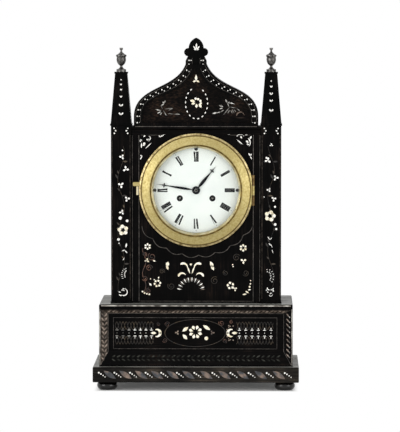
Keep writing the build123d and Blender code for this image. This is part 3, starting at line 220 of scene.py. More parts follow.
def metal(name, code, roughness, spread_code, patch_mm, grain_mm, grain_depth_mm):
    """Metal with patches of a second colour and a fine surface grain."""
    material, tree, shader, place = new_finish(name, roughness, metallic=1.0)
    patch = add(tree, "ShaderNodeTexNoise", {
        "Vector": place, "Scale": per_mm(patch_mm), "Detail": 4.0, "Roughness": 0.6}).outputs["Fac"]
    colour = add(tree, "ShaderNodeValToRGB", {"Fac": patch}, list(zip(PATCH_EDGES, (spread_code, code))))
    tree.links.new(colour.outputs["Color"], shader.inputs["Base Color"])
    shine = add(tree, "ShaderNodeMapRange", {
        "Value": patch, "From Min": NOISE_LOW, "From Max": NOISE_HIGH,
        "To Min": roughness + DULLER, "To Max": roughness - BURNISH})
    tree.links.new(shine.outputs["Result"], shader.inputs["Roughness"])
    grain = add(tree, "ShaderNodeTexNoise", {
        "Vector": place, "Scale": per_mm(grain_mm), "Detail": 2.0}).outputs["Fac"]
    relief = add(tree, "ShaderNodeBump", {
        "Height": grain, "Strength": 0.5, "Distance": grain_depth_mm * MM})
    tree.links.new(relief.outputs["Normal"], shader.inputs["Normal"])
    return material


gilt = metal("Brass, matt mercury gilding, worn", "b7a974", 0.46, "a5945d", 2.4, 0.8, 0.10)
clean_brass = metal("Brass, lacquered movement plates", "c9a45a", 0.30, "b08a45", 14.0, 0.5, 0.02)
dark_bronze = metal("Bronze, dark patina over pewter grey", "6c6a67", 0.34, "151414", 2.6, 0.8, 0.10)
bell_bronze = metal("Bell bronze, turned", "b58f55", 0.32, "93713f", 12.0, 0.5, 0.02)
steel = metal("Steel, polished", "b9b9b6", 0.26, "8f8d88", 6.0, 0.5, 0.02)
blued = metal("Steel, blued nearly black", "15171d", 0.32, "0c0d10", 6.0, 0.5, 0.01)
print("metals", [m.name for m in (gilt, clean_brass, dark_bronze, bell_bronze, steel, blued)])

# %% [markdown]
# The dial is white vitreous enamel on copper: a cool white glass with a gentle shine and faint clouds of
# grey. Its figures are black enamel fired on top. The bezel glass is thin, clear blown glass. A solid
# glass shader would darken the dial, because its light would have to come through caustics, so the pane
# is mostly transparent with a weak mirror on top.

# %% Enamel and glass
PAINT_SHINE = 0.12
enamel, tree, shader, place = new_finish("Enamel on copper, white, fired glossy", 0.16, ior=1.55)
cloud = add(tree, "ShaderNodeTexNoise", {
    "Vector": place, "Scale": per_mm(24.0), "Detail": 3.0}).outputs["Fac"]
white = add(tree, "ShaderNodeValToRGB", {"Fac": cloud}, [(0.35, "f0f3f2"), (0.65, "f8faf8")])
tree.links.new(white.outputs["Color"], shader.inputs["Base Color"])
relief = add(tree, "ShaderNodeBump", {"Height": cloud, "Strength": 0.1, "Distance": 0.05 * MM})
tree.links.new(relief.outputs["Normal"], shader.inputs["Normal"])

black_enamel, tree, shader, place = new_finish("Enamel paint, black, fired", 0.45)
shader.inputs["Specular IOR Level"].default_value = PAINT_SHINE
fleck = add(tree, "ShaderNodeTexNoise", {
    "Vector": place, "Scale": per_mm(0.9), "Detail": 2.0}).outputs["Fac"]
black = add(tree, "ShaderNodeValToRGB", {"Fac": fleck}, [(0.4, "08080b"), (0.7, "17171b")])
tree.links.new(black.outputs["Color"], shader.inputs["Base Color"])

glass, tree, place = bare_finish("Glass, blown, clear, domed")
clear = add(tree, "ShaderNodeBsdfTransparent", {"Color": linear("fdfefd")}).outputs["BSDF"]
wave = add(tree, "ShaderNodeTexNoise", {
    "Vector": place, "Scale": per_mm(30.0), "Detail": 1.0}).outputs["Fac"]
ripple = add(tree, "ShaderNodeBump", {"Height": wave, "Strength": 0.05, "Distance": 0.2 * MM})
sheen = add(tree, "ShaderNodeBsdfGlossy", {
    "Color": linear("ffffff"), "Roughness": 0.03, "Normal": ripple.outputs["Normal"]})
mirror = add(tree, "ShaderNodeFresnel", {"IOR": 1.2}).outputs["Fac"]
pane = add(tree, "ShaderNodeMixShader", {0: mirror, 1: clear, 2: sheen.outputs["BSDF"]})
add(tree, "ShaderNodeOutputMaterial", {"Surface": pane.outputs["Shader"]})
print("enamel and glass made")

# %% [markdown]
# Each CAD node now gets the finish of its material slot. Wood is split by the way its boards run. A solid
# from CAD carries no looks of its own, only the name of its slot, and its mesh stays as it is. Finishes
# could be chosen node by node, but a table from slots to finishes keeps the loop short, and a second
# table names the boards that differ.

# %% Dress the CAD nodes
def dress(name, finish):
    """Give a CAD node one finish."""
    nodes[name].data.materials.clear()
    nodes[name].data.materials.append(finish)


WOOD_OF_NODE = {"base_slab": slab_wood, "plinth_top": plinth_wood, "bun_feet": foot_wood,
                "pediment_board": burr_wood}
for name in ("plinth_front_frame", "plinth_front_panel", "plinth_boards", "cornice_rail", "case_top"):
    WOOD_OF_NODE[name] = level_wood
FINISH_OF_SLOT = {
    "dark_bronze": dark_bronze, "gilt_brass": gilt, "movement_brass": clean_brass, "steel": steel,
    "blued_steel": blued, "bell_bronze": bell_bronze, "white_enamel": enamel, "clear_glass": glass}
for subpart in frame["record"]["subparts"]:
    name = subpart["node"]
    slot = subpart["material_slot"]
    if slot == "ebonised_wood":
        finish = WOOD_OF_NODE.get(name, upright_wood)
    else:
        finish = FINISH_OF_SLOT[slot]
    dress(name, finish)

# %% [markdown]
# The ornament is inlay: slips of mother-of-pearl and warm white bone let into the black wood, flush or a
# hair proud, with thin lines of tarnished brass stringing and vines once painted in bronze powder, now
# brown. Pearl is white with faint pink and green clouds. Bone is creamier and dull. The darker pieces of
# pearl and the rope of the base shine brown, grey and a little green. The carved wood of the plinth is
# rubbed brown, or its stain is worn thin. Two of its slopes are painted grey as a sheen, and pale lines on
# its edges are painted highlights. One function mixes them all, because they differ only in colours, the
# size of the clouds and shine.

# %% Inlay finishes
INLAY_RELIEF_MM = 0.05
FULL_SHINE = 0.5


def inlay_finish(name, stops, patch_mm, roughness, metallic=0.0, coat=0.0, shine=FULL_SHINE):
    """Slip with soft clouds of colour."""
    material, tree, shader, place = new_finish(name, roughness, metallic)
    shader.inputs["Specular IOR Level"].default_value = shine
    cloud = add(tree, "ShaderNodeTexNoise", {
        "Vector": place, "Scale": per_mm(patch_mm), "Detail": 3.0, "Roughness": 0.55}).outputs["Fac"]
    colour = add(tree, "ShaderNodeValToRGB", {"Fac": cloud}, stops).outputs["Color"]
    tree.links.new(colour, shader.inputs["Base Color"])
    shader.inputs["Coat Weight"].default_value = coat
    relief = add(tree, "ShaderNodeBump", {
        "Height": cloud, "Strength": 0.2, "Distance": INLAY_RELIEF_MM * MM})
    tree.links.new(relief.outputs["Normal"], shader.inputs["Normal"])
    return material


pearl = inlay_finish(
    "Mother-of-pearl, polished", [(0.32, "c6cac6"), (0.45, "f3efe7"), (0.58, "fcfaf5"), (0.70, "eaf0ec")],
    3.0, 0.22, coat=0.4)
bone = inlay_finish("Bone, aged cream", [(0.30, "e4d5b0"), (0.48, "f9f1da"), (0.66, "fefaee")], 4.0, 0.42)
dull_pearl = inlay_finish(
    "Mother-of-pearl, tarnished", [(0.34, "2a211d"), (0.46, "66564b"), (0.58, "a3917f"), (0.70, "5f6661")],
    4.0, 0.36, coat=0.3)
flaking_pearl = inlay_finish(
    "Mother-of-pearl, flaking", [(0.36, "1d1b19"), (0.50, "7a7771"), (0.62, "d2d1cb")], 11.0, 0.36, coat=0.3)
abalone = inlay_finish(
    "Abalone shell, brown and green",
    [(0.34, "171519"), (0.45, "33363b"), (0.54, "574a43"), (0.66, "7d6a5d")], 9.0, 0.3, coat=0.4)
stringing = inlay_finish("Brass stringing, tarnished", [(0.35, "1f1d1b"), (0.65, "5c5650")], 6.0, 0.45, 0.4)
bronze_paint = inlay_finish(
    "Bronze powder paint, faded", [(0.36, "0b0907"), (0.50, "211a12"), (0.66, "4a3c28")], 7.0, 0.6)
red_paint = inlay_finish(
    "Bronze powder paint, reddened", [(0.38, "0f0907"), (0.50, "3a241a"), (0.64, "6f4b39")], 6.0, 0.6)
carved_wood = inlay_finish(
    "Rosewood, carved, rubbed brown", [(0.34, "2b231d"), (0.50, "6f6053"), (0.64, "a8978a")], 5.0, 0.5)
stained_wood = inlay_finish(
    "Pearwood, carved, stain worn thin", [(0.36, "0b0b0a"), (0.50, "20211e"), (0.64, "3c3d38")], 5.0, 0.5,
    shine=SHELLAC_SHINE)
# Grey: rubbed stain on the towers' edges, and a painted sheen on the plinth's left and top slopes.
grey_wood_and_sheen = inlay_finish(
    "Pearwood, grey, rubbed stain and painted sheen", [(0.36, "201d1a"), (0.50, "3b3530"), (0.64, "5a5149")], 5.0, 0.5,
    shine=SHELLAC_SHINE)
# Pale arris lines: a painted highlight where the edges catch the light.
arris_highlight = inlay_finish(
    "Wood, pale, painted highlight on the arris", [(0.36, "45403a"), (0.50, "9a948b"), (0.62, "d2cec4")], 9.0, 0.5)
print("inlay finishes made")

# %% [markdown]
# A slip of inlay is a flat outline with a thickness. The outlines are drawn in millimetres on the front
# of the clock, X to the right and Z up: pointed leaves, horns that curl along an arc, and round dots. Each
# function returns a list of outlines, so a motif is just a sum of lists.

# %% Outlines of the slips
LEAF_STEPS = 7
DOT_SIDES = 14
HORN_ROOT, HORN_SWELL, HORN_TAPER = 0.3, 4, 0.6


def around(x, z, radius, bearing, tall=None):
    """Place on a circle, or on an oval that is so tall; bearings count from +X towards +Z."""
    angle = math.radians(bearing)
    return x + radius * math.cos(angle), z + (tall or radius) * math.sin(angle)


def arc(x, z, radius, start, turn, steps, tall=None):
    """Places so many degrees apart along a circle or an oval."""
    return [around(x, z, radius, start + turn * i, tall) for i in range(steps)]


def moved(points, x, z, bearing):
    """Outline turned to a bearing and put at a place."""
    c, s = math.cos(math.radians(bearing)), math.sin(math.radians(bearing))
    return [(x + c * u - s * v, z + s * u + c * v) for u, v in points]


def leaf(x, z, length, width, bearing, belly=0.5):
    """Pointed leaf that grows from a place; belly says where it is widest."""
    power = math.log(0.5) / math.log(belly)
    forth = [i / LEAF_STEPS for i in range(LEAF_STEPS + 1)]
    edge = [(t * length, -width / 2 * math.sin(math.pi * t ** power)) for t in forth]
    back = [(u, -v) for u, v in reversed(edge[1:-1])]
    return [moved(edge + back, x, z, bearing)]


def horn(x, z, radius, start, sweep, width):
    """Leaf bent along an arc about a place, fat in its first half and pointed at its end."""
    outer, inner = [], []
    for i in range(2 * LEAF_STEPS + 1):
        t = i / (2 * LEAF_STEPS)
        half = width / 2 * min(1.0, HORN_SWELL * t + HORN_ROOT) * (1 - t) ** HORN_TAPER
        outer.append(around(x, z, radius + half, start + t * sweep))
        inner.append(around(x, z, radius - half, start + t * sweep))
    ring = outer[:-1] + inner[::-1]
    return [ring if sweep > 0 else ring[::-1]]


def dot(x, z, radius):
    """Round slip."""
    return [arc(x, z, radius, 0, 360 / DOT_SIDES, DOT_SIDES)]


print("outlines ready")

# %% [markdown]
# Flowers are sums of those outlines. An inlayer saws the petals one by one and packs them round a pin, so
# each flower is petals stepped round a middle. Petals in a blossom are pointed and apart, those in a
# rosette are round and joined, and three fat ones make the small clusters.

# %% Flowers
PETAL_FULLNESS, PETAL_BELLY, SPRAY_BELLY = 1.7, 0.62, 0.6
ROSETTE_PETAL, ROSETTE_JOINT = (0.69, 0.35), (0.62, 0.2)
CLUSTER_FULLNESS, CLUSTER_BEARINGS = 0.62, (-115, 0, 115)


def blossom(x, z, radius, petals, bearing, eye):
    """Flower of separate petals round a dark eye, which is a share of the radius."""
    slips = []
    width = PETAL_FULLNESS * math.pi * radius * (1 + eye) / 2 / petals
    for k in range(petals):
        turn = bearing + k * 360 / petals
        root = around(x, z, eye * radius, turn)
        slips += leaf(*root, radius * (1 - eye), width, turn, PETAL_BELLY)
    return slips


def rosette(x, z, radius, petals, bearing):
    """Flower of round petals round a dark eye, with small slips that join them."""
    slips = []
    for k in range(petals):
        turn = bearing + 360 * k / petals
        for (place, size), bend in ((ROSETTE_PETAL, 0), (ROSETTE_JOINT, 180 / petals)):
            slips += dot(*around(x, z, place * radius, turn + bend), size * radius)
    return slips


def spray(x, z, leaves):
    """Leaves from one point, each (bearing, length, width)."""
    slips = []
    for bearing, length, width in leaves:
        slips += leaf(x, z, length, width, bearing, SPRAY_BELLY)
    return slips


def cluster(x, z, size, bearing):
    """Three fat petals close together."""
    return spray(x, z, [(bearing + bend, size, CLUSTER_FULLNESS * size) for bend in CLUSTER_BEARINGS])


print("flowers ready")

# %% [markdown]
# Outlines become a mesh: each gets a front face a little before the wood, a back face just inside it and
# a wall between them. The surface is a function of X and Z that gives the depth, because the spires and
# the plinth's frame slope. All slips of one material on one part of the clock become one object, which
# rides on the body that carries it.

# %% Slips to pieces
INLAY_RISE = 0.15
PAINT_RISE = 0.05
INLAY_SINK = 0.25


def flat(y):
    """Upright plane at a depth in millimetres."""
    return lambda x, z: y


def close_block(work, front, back):
    """Faces of a block between two outlines with as many corners."""
    work.faces.new(front)
    work.faces.new(back[::-1])
    for i in range(len(front)):
        j = (i + 1) % len(front)
        work.faces.new((front[j], front[i], back[i], back[j]))


def finished_mesh(name, work):
    """Mesh of a closed bmesh, with its faces pointing outwards."""
    bmesh.ops.recalc_face_normals(work, faces=work.faces)
    mesh = bpy.data.meshes.new(name)
    work.to_mesh(mesh)
    work.free()
    return mesh


def slip_mesh(name, slips, surface, rise=INLAY_RISE):
    """Mesh of many slips, let into a surface."""
    work = bmesh.new()
    for slip in slips:
        front = [work.verts.new((x * MM, (surface(x, z) - rise) * MM, z * MM)) for x, z in slip]
        back = [work.verts.new((x * MM, (surface(x, z) + INLAY_SINK) * MM, z * MM)) for x, z in slip]
        close_block(work, front, back)
    return finished_mesh(name, work)


def placed(name, mesh, body, finish=None):
    """Object for a finished mesh that rides on a body."""
    if finish:
        mesh.materials.append(finish)
    piece = bpy.data.objects.new(name, mesh)
    scene.collection.objects.link(piece)
    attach(piece, body)
    print(name, len(mesh.polygons), "faces")
    return piece


def inlay(name, slips, surface, finish, rise=INLAY_RISE, body="case"):
    """One piece of inlay from many slips."""
    placed(name, slip_mesh(name, slips, surface, rise), body, finish)


print("slips ready")

# %% [markdown]
# What repeats or follows a path grows from Geometry Nodes. The first tree puts copies of a motif at equal
# steps along a path and turns each one with the path, as an inlayer steps a template along a moulding.
# The second tree draws a strip along a path, as thin stringing is bent into a sawn groove. Both end in
# plain geometry with a material.

# %% Two trees that follow a path
def new_tree(name, sockets):
    """Geometry tree with a path, named inputs and a result; returns the tree and its given values."""
    tree = bpy.data.node_groups.new(name, "GeometryNodeTree")
    tree.interface.new_socket("Path", in_out="INPUT", socket_type="NodeSocketGeometry")
    for label, kind in sockets:
        tree.interface.new_socket(label, in_out="INPUT", socket_type=kind)
    tree.interface.new_socket("Result", in_out="OUTPUT", socket_type="NodeSocketGeometry")
    return tree, add(tree, "NodeGroupInput").outputs


def end_tree(tree, geometry, finish):
    """Make a tree's geometry plain, give it a material and hand it out."""
    whole = add(tree, "GeometryNodeRealizeInstances", {"Geometry": geometry}).outputs["Geometry"]
    dressed = add(tree, "GeometryNodeSetMaterial", {"Geometry": whole, "Material": finish})
    add(tree, "NodeGroupOutput", {"Result": dressed.outputs["Geometry"]})


motif_tree, given = new_tree("Motif along a path", [
    ("Motif", "NodeSocketObject"), ("Count", "NodeSocketInt"), ("Finish", "NodeSocketMaterial")])
points = add(motif_tree, "GeometryNodeCurveToPoints", {
    "Curve": given["Path"], "Count": given["Count"]}, mode="COUNT")
turn = add(motif_tree, "FunctionNodeAlignRotationToVector", {
    "Vector": points.outputs["Tangent"]}, axis="X", pivot_axis="Y")
motif = add(motif_tree, "GeometryNodeObjectInfo", {"Object": given["Motif"]})
copies = add(motif_tree, "GeometryNodeInstanceOnPoints", {
    "Points": points.outputs["Points"], "Instance": motif.outputs["Geometry"],
    "Rotation": turn.outputs["Rotation"]})
end_tree(motif_tree, copies.outputs["Instances"], given["Finish"])

strip_tree, given = new_tree("Strip along a path", [
    ("Width", "NodeSocketFloat"), ("Depth", "NodeSocketFloat"), ("Finish", "NodeSocketMaterial")])
facing = add(strip_tree, "GeometryNodeSetCurveNormal", {
    "Curve": given["Path"], "Normal": (0.0, -1.0, 0.0)}, mode="FREE")
profile = add(strip_tree, "GeometryNodeCurvePrimitiveQuadrilateral", {
    "Width": given["Depth"], "Height": given["Width"]}, mode="RECTANGLE")
sweep = add(strip_tree, "GeometryNodeCurveToMesh", {
    "Curve": facing.outputs["Curve"], "Profile Curve": profile.outputs["Curve"], "Fill Caps": True})
end_tree(strip_tree, sweep.outputs["Mesh"], given["Finish"])
print("trees", motif_tree.name, strip_tree.name)

# %% [markdown]
# A tree needs a path to grow along. The path is a curve of straight steps on the surface, made for the
# moment: the tree's modifier is added to it, its inputs are set, and the result is taken off as a plain
# mesh.

# %% Growing a piece
STRIP_DEPTH = 0.3


def grow(name, tree, paths, surface, closed, **values):
    """Piece of the case that a tree grows along paths; its mesh is made plain and the guide goes away."""
    curve = bpy.data.curves.new(name, "CURVE")
    curve.dimensions = "3D"
    for path in paths:
        spline = curve.splines.new("POLY")
        spline.points.add(len(path) - 1)
        spline.use_cyclic_u = closed
        for point, (x, z) in zip(spline.points, path):
            point.co = (x * MM, surface(x, z) * MM, z * MM, 1.0)
    guide = bpy.data.objects.new(name, curve)
    scene.collection.objects.link(guide)
    grower = guide.modifiers.new("Grower", "NODES")
    grower.node_group = tree
    for socket in tree.interface.items_tree:
        if socket.name in values:
            grower[socket.identifier] = values[socket.name]
    graph = bpy.context.evaluated_depsgraph_get()
    mesh = bpy.data.meshes.new_from_object(guide.evaluated_get(graph), depsgraph=graph)
    guide.modifiers.remove(grower)
    bpy.data.objects.remove(guide)
    mesh.name = name
    placed(name, mesh, "case")


def repeat(name, motif_mesh, count, paths, surface, finish, closed=False):
    """Copies of a motif along each path."""
    stamp = bpy.data.objects.new(name + "_motif", motif_mesh)
    scene.collection.objects.link(stamp)
    grow(name, motif_tree, paths, surface, closed, Motif=stamp, Count=count, Finish=finish)
    bpy.data.objects.remove(stamp)


def strips(name, paths, surface, finish, width, closed=False):
    """Thin strips let into a surface along paths, half sunk."""
    sizes = {"Width": width * MM, "Depth": STRIP_DEPTH * MM}
    grow(name, strip_tree, paths, surface, closed, Finish=finish, **sizes)


print("growers ready")

# %% [markdown]
# The planes that carry the ornament, read from the frame, so that the dress follows the solids if they
# change. Each motif below is written as the outline's name and a list of its places in millimetres.

# %% Planes and places
def front_of(node):
    """Depth of a node's foremost point in millimetres."""
    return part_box(node)[0].y / MM


def middle_of(node, axis):
    """Middle of a node along an axis in millimetres."""
    low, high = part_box(node)
    return (low[axis] + high[axis]) / 2 / MM


def gather(*groups):
    """Slips of several kinds, each group an outline function and a list of its places."""
    return [slip for maker, places in groups for place in places for slip in maker(*place)]


TOWER_X = middle_of("spire_right", X)
TOWER_FOOT_RISE = 0.8
TOWER_FRONT = front_of("tower_left") + TOWER_FOOT_RISE
PANEL_FRONT = front_of("dial_panel")
PEDIMENT_FRONT = front_of("pediment_board")
DIAL_FRONT = front_of("dial_plate")
DIAL_Z = middle_of("dial_plate", Z)
fronts = (TOWER_FRONT, PANEL_FRONT, PEDIMENT_FRONT, DIAL_FRONT)
print("fronts", [round(y, 2) for y in fronts], "dial", DIAL_Z, "towers", TOWER_X)

# %% [markdown]
# Towers. Climbing sprays of small petals run up each tower, no two sides alike: petals in threes, one
# large open flower, a fern near the foot and a knot at the bottom, tied together by a faint painted stem.
# Three dots stand in each upper corner. The ferns are rows of little dashes, so they grow along arcs. On
# the real clock each slip was sawn by hand. Each could be modelled alone too, but a few outlines with
# lists of their places are easier to read and to change.

# %% Tower inlay
left_petals = gather(
    (cluster, [(-95.4, 300.0, 3.6, 60), (-90.3, 284.4, 4.2, 100), (-96.8, 263.8, 4.2, 40),
               (-88.6, 245.8, 3.8, 130), (-95.8, 228.6, 3.6, 70)]),
    (dot, [(-94.6, 308.5, 0.9), (-97.6, 221.2, 2.2), (-88.8, 217.6, 1.7), (-100.0, 193.6, 1.7),
           (-99.2, 188.6, 0.8), (-98.6, 121.8, 0.8), (-99.8, 126.0, 0.7)]),
    (leaf, [(-90.5, 183.0, 6.0, 1.9, 80), (-91.5, 180.0, 4.6, 1.2, 200), (-88.8, 176.0, 4.4, 1.3, 130),
            (-92.0, 170.0, 4.6, 0.7, 235), (-98.6, 120.6, 4.2, 1.6, 15), (-97.0, 124.6, 3.6, 1.3, 150)]),
    (cluster, [(-94.2, 128.4, 2.2, 80)]),
    (horn, [(-93.3, 125.6, 4.6, 230, 230, 1.6)]))
right_petals = gather(
    (cluster, [(96.7, 315.5, 2.4, 90), (92.3, 295.6, 4.2, 80), (102.6, 273.1, 3.8, 120),
               (93.6, 257.6, 3.0, 60), (99.9, 246.0, 3.6, 20)]),
    (dot, [(90.5, 299.0, 1.2), (87.5, 248.6, 0.7), (101.6, 236.0, 1.3), (101.8, 213.2, 1.7),
           (103.2, 207.3, 1.3)]),
    (leaf, [(92.4, 197.6, 5.0, 1.1, 300), (97.6, 196.4, 4.2, 0.8, 235), (93.6, 189.6, 4.6, 1.0, 300),
            (98.4, 183.0, 6.4, 0.7, 115), (97.6, 181.0, 5.6, 0.7, 290), (94.6, 123.4, 3.6, 1.2, 20),
            (93.4, 125.0, 2.6, 1.0, 140)]),
    (cluster, [(92.2, 129.2, 2.6, 100), (98.6, 128.6, 2.6, 60)]),
    (horn, [(96.4, 122.6, 2.2, 190, 190, 1.0)]))
CORNER_DOTS = [(8.8, 336.8), (6.9, 333.7), (8.6, 330.4), (-8.8, 336.8), (-6.9, 333.7), (-8.6, 330.4)]
CORNER_DOT_RADIUS = 0.9
corner_dots = [(side * TOWER_X + x, z, CORNER_DOT_RADIUS) for side in (-1, 1) for x, z in CORNER_DOTS]
flowers = rosette(-94.2, 205.7, 6.8, 5, 100) + rosette(95.2, 224.1, 7.0, 5, 75)
tower_petals = left_petals + right_petals + gather((dot, corner_dots))
inlay("tower_pearl_inlay", tower_petals, flat(TOWER_FRONT), pearl)
inlay("tower_bone_flowers", flowers, flat(TOWER_FRONT), bone)

# %% [markdown]
# A fern is two rows of dashes on ovals about one middle, given by the middle, the first bearing and the
# turn of each step. The painted stem swings from side to side as it climbs, and bears two leaves at a
# time.

# %% Tower ferns and stems
FERN_DASHES, FERN_STEPS = 7, 25
FERNS = ((-90.0, 148.0, 96, 5), (92.5, 145.6, 100, -6))
FERN_OVALS = ((6.6, 8.6), (3.0, 5.8))
fern_dash = slip_mesh("fern_dash", leaf(-0.4, 0.0, 1.9, 0.75, 62), flat(0.0))
fern_paths = []
for width, height in FERN_OVALS:
    for x, z, start, turn in FERNS:
        fern_paths.append(arc(x, z, width, start, turn, FERN_STEPS, height))
repeat("tower_pearl_ferns", fern_dash, FERN_DASHES, fern_paths, flat(TOWER_FRONT), pearl)

STEM_SWING, STEM_WAVE = 4.2, 11.0
STEM_HEIGHTS = range(122, 318, 4)
STEM_LEAF_HEIGHTS = range(140, 316, 22)
STEM_LEAVES = ((0, 6.4, 2.2, 60, 60, math.sin), (6, 5.0, 1.8, 120, 50, math.cos))


def stem(side, z):
    """Place of the climbing stem at a height."""
    return side * TOWER_X + STEM_SWING * math.sin(z / STEM_WAVE + side), z


stem_paths = [[stem(side, z) for z in STEM_HEIGHTS] for side in (-1, 1)]
strips("tower_painted_stems", stem_paths, flat(TOWER_FRONT), bronze_paint, width=0.3)
stem_leaves = []
for side in (-1, 1):
    for z in STEM_LEAF_HEIGHTS:
        for lift, length, width, bearing, bend, wave in STEM_LEAVES:
            stem_leaves += leaf(*stem(side, z + lift), length, width, bearing + bend * wave(z))
inlay("tower_painted_leaves", stem_leaves, flat(TOWER_FRONT), bronze_paint, rise=PAINT_RISE)

# %% [markdown]
# Spires. A row of little hearts, each of two slanting petals, grows larger towards the foot. The faces
# lean back, so the surface is worked out from the taper. The hearts could be drawn flat and turned, but a
# depth that depends on the height puts every corner where it belongs.

# %% Spire inlay
SPIRE_AXIS_Y = middle_of("spire_left", Y)
SPIRE_FOOT_Z, SPIRE_FOOT_HALF = 343.0, 13.2
SPIRE_HEAD_Z, SPIRE_HEAD_HALF = 407.0, 7.8
HEART_LEAN, HEART_FULLNESS = 9.0, 0.42


def spire_front(x, z):
    """Depth of the leaning front face at a height."""
    share = (z - SPIRE_FOOT_Z) / (SPIRE_HEAD_Z - SPIRE_FOOT_Z)
    return SPIRE_AXIS_Y - SPIRE_FOOT_HALF + share * (SPIRE_FOOT_HALF - SPIRE_HEAD_HALF)


def heart(x, z, size):
    """Two petals that meet at the bottom and open wider in a larger heart."""
    lean = HEART_LEAN * size
    return spray(x, z - size / 2, [(90 + bend, size, HEART_FULLNESS * size) for bend in (-lean, lean)])


LEFT_HEARTS = [(399.0, 1.8), (393.0, 2.6), (386.5, 2.7), (377.5, 3.0), (366.8, 4.2), (355.9, 4.4)]
RIGHT_HEARTS = [(397.5, 2.0), (390.5, 3.0), (381.5, 3.7), (372.5, 3.6), (360.3, 4.2)]
hearts = gather((heart, [(-TOWER_X, *h) for h in LEFT_HEARTS] + [(TOWER_X, *h) for h in RIGHT_HEARTS]))
inlay("spire_pearl_hearts", hearts, spire_front, pearl)

# %% [markdown]
# Pediment and palmette. A three-leaved sprig stands in the neck, a cream flower in an oval of pearl drops
# fills the middle, and two faded sprays lie beside it. At the right a thin arch is rubbed through to
# brown wood. The drops step round the oval. They could be placed one by one, but stepping one drop along
# the curve spaces them evenly, as dividers do.

# %% Pediment inlay
OVAL_MIDDLE = (0.6, 369.0)
OVAL_HALF_WIDTH, OVAL_HALF_HEIGHT = 14.2, 20.0
OVAL_DROPS = 16
OVAL_START, OVAL_TURN, OVAL_STEPS = 120, 4.6, 65
oval = arc(*OVAL_MIDDLE, OVAL_HALF_WIDTH, OVAL_START, OVAL_TURN, OVAL_STEPS, OVAL_HALF_HEIGHT)
drop = slip_mesh("oval_drop", leaf(-1.5, 0.0, 3.0, 1.5, 0), flat(0.0))
repeat("pediment_pearl_drops", drop, OVAL_DROPS, [oval], flat(PEDIMENT_FRONT), pearl)
palmette_leaves = spray(
    0.4, 437.2, [(90, 9.0, 2.1), (128, 6.6, 1.7), (52, 6.6, 1.7), (160, 3.4, 1.2), (20, 3.4, 1.2)])
inlay("palmette_pearl_leaves", palmette_leaves, flat(PEDIMENT_FRONT), pearl)
sprig = gather((leaf, [
    (0.0, 398.6, 7.2, 3.0, 90, 0.35), (0.0, 398.2, 4.6, 2.2, 205), (0.0, 398.2, 4.6, 2.2, 335)]))
pediment_flower = gather(
    (dot, [(-0.6, 374.8, 1.5), (2.6, 374.2, 1.5), (5.5, 372.0, 1.5), (6.0, 368.9, 1.4)]),
    (leaf, [(-1.4, 371.4, 6.6, 3.4, 170), (-1.0, 369.4, 5.4, 2.8, 196), (0.7, 368.2, 5.2, 3.2, 266),
            (3.6, 368.4, 6.0, 3.2, 302)]))
inlay("pediment_bone_flower", pediment_flower + sprig, flat(PEDIMENT_FRONT), bone)

left_spray = gather((leaf, [
    (-42.4, 360.0, 8.2, 0.9, 301), (-41.0, 361.4, 12.0, 1.1, 6), (-35.4, 359.8, 6.6, 1.0, 26),
    (-36.2, 355.8, 9.0, 0.9, 353), (-28.8, 354.8, 8.2, 1.6, 0), (-44.6, 359.4, 7.8, 1.6, 168),
    (-45.0, 358.2, 5.6, 1.4, 204), (-44.0, 357.0, 3.8, 1.2, 236), (-45.6, 365.0, 5.8, 1.7, 38),
    (-41.2, 369.0, 3.8, 1.8, 62), (-41.0, 368.6, 3.4, 1.4, 132), (-43.4, 361.4, 5.2, 0.8, 108)]))
right_spray = gather((leaf, [
    (34.6, 353.4, 14.2, 1.3, 51), (40.6, 355.6, 5.6, 1.3, 62), (42.6, 363.6, 8.0, 1.0, 112),
    (39.6, 369.6, 4.8, 1.9, 112), (39.8, 370.8, 10.0, 1.3, 343), (41.0, 368.8, 4.6, 1.0, 18),
    (35.0, 364.4, 6.2, 1.9, 160), (34.6, 363.0, 4.8, 1.2, 198), (20.8, 355.6, 6.2, 1.7, 12),
    (26.4, 356.6, 5.8, 1.1, 14), (31.6, 357.8, 5.2, 0.9, 32), (43.4, 364.2, 9.0, 0.8, 350),
    (51.8, 362.6, 5.6, 0.8, 324), (46.2, 361.2, 6.2, 1.2, 300), (44.4, 360.4, 5.4, 1.1, 296),
    (48.8, 361.2, 4.6, 0.9, 302)]))
inlay("pediment_faded_sprays", left_spray + right_spray, flat(PEDIMENT_FRONT), flaking_pearl)
rubbed_arch = horn(57.0, 352.6, 5.0, 178, -172, 1.9) + leaf(51.4, 350.2, 12.0, 0.7, 0)
inlay("pediment_rubbed_arch", rubbed_arch, flat(PEDIMENT_FRONT), worn_wood, rise=PAINT_RISE)

# %% [markdown]
# The ogee moulding carries two fine lines and, between them, pairs of pearl dots. The curve is the one
# that the pediment was sawn to, drawn a little inside its edge: a cubic curve from the spring at the
# side, over the shoulder and the waist, up to the neck. There it steps back onto the foot of the
# palmette. Each control point is given from the middle of the sill, with how far it moves for each
# millimetre of inset.

# %% Ogee stringing and dots
OGEE_STEPS = 40
OGEE_SILL = 340.0
OGEE_NECK_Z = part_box("palmette_finial")[0].z / MM
LINE_TOP_Z, DOT_TOP_Z = 427.0, 424.0
OGEE_BAND_FRONT = front_of("pediment_moulding")
OGEE_STEP_BACK = 1.6
OGEE_DOT_PAIRS = 15
OGEE_BEND = 0.88
BEND_STEPS = 6
OGEE_FOOT = 4.0
OGEE_CONTROL = (((80.0, 11.0), (1.0, 0.0)), ((80.0, 52.0), (1.0, 0.6)), ((28.0, 44.0), (0.35, 1.0)),
                ((13.5, 79.0), (1.0, 0.9)))
STEP_HALF = 0.1


def on_curve(control, t):
    """Place on a smooth curve of three or four control points."""
    degree = len(control) - 1
    weights = [math.comb(degree, k) * (1 - t) ** (degree - k) * t ** k for k in range(degree + 1)]
    return [sum(weight * point[axis] for weight, point in zip(weights, control)) for axis in (0, 1)]


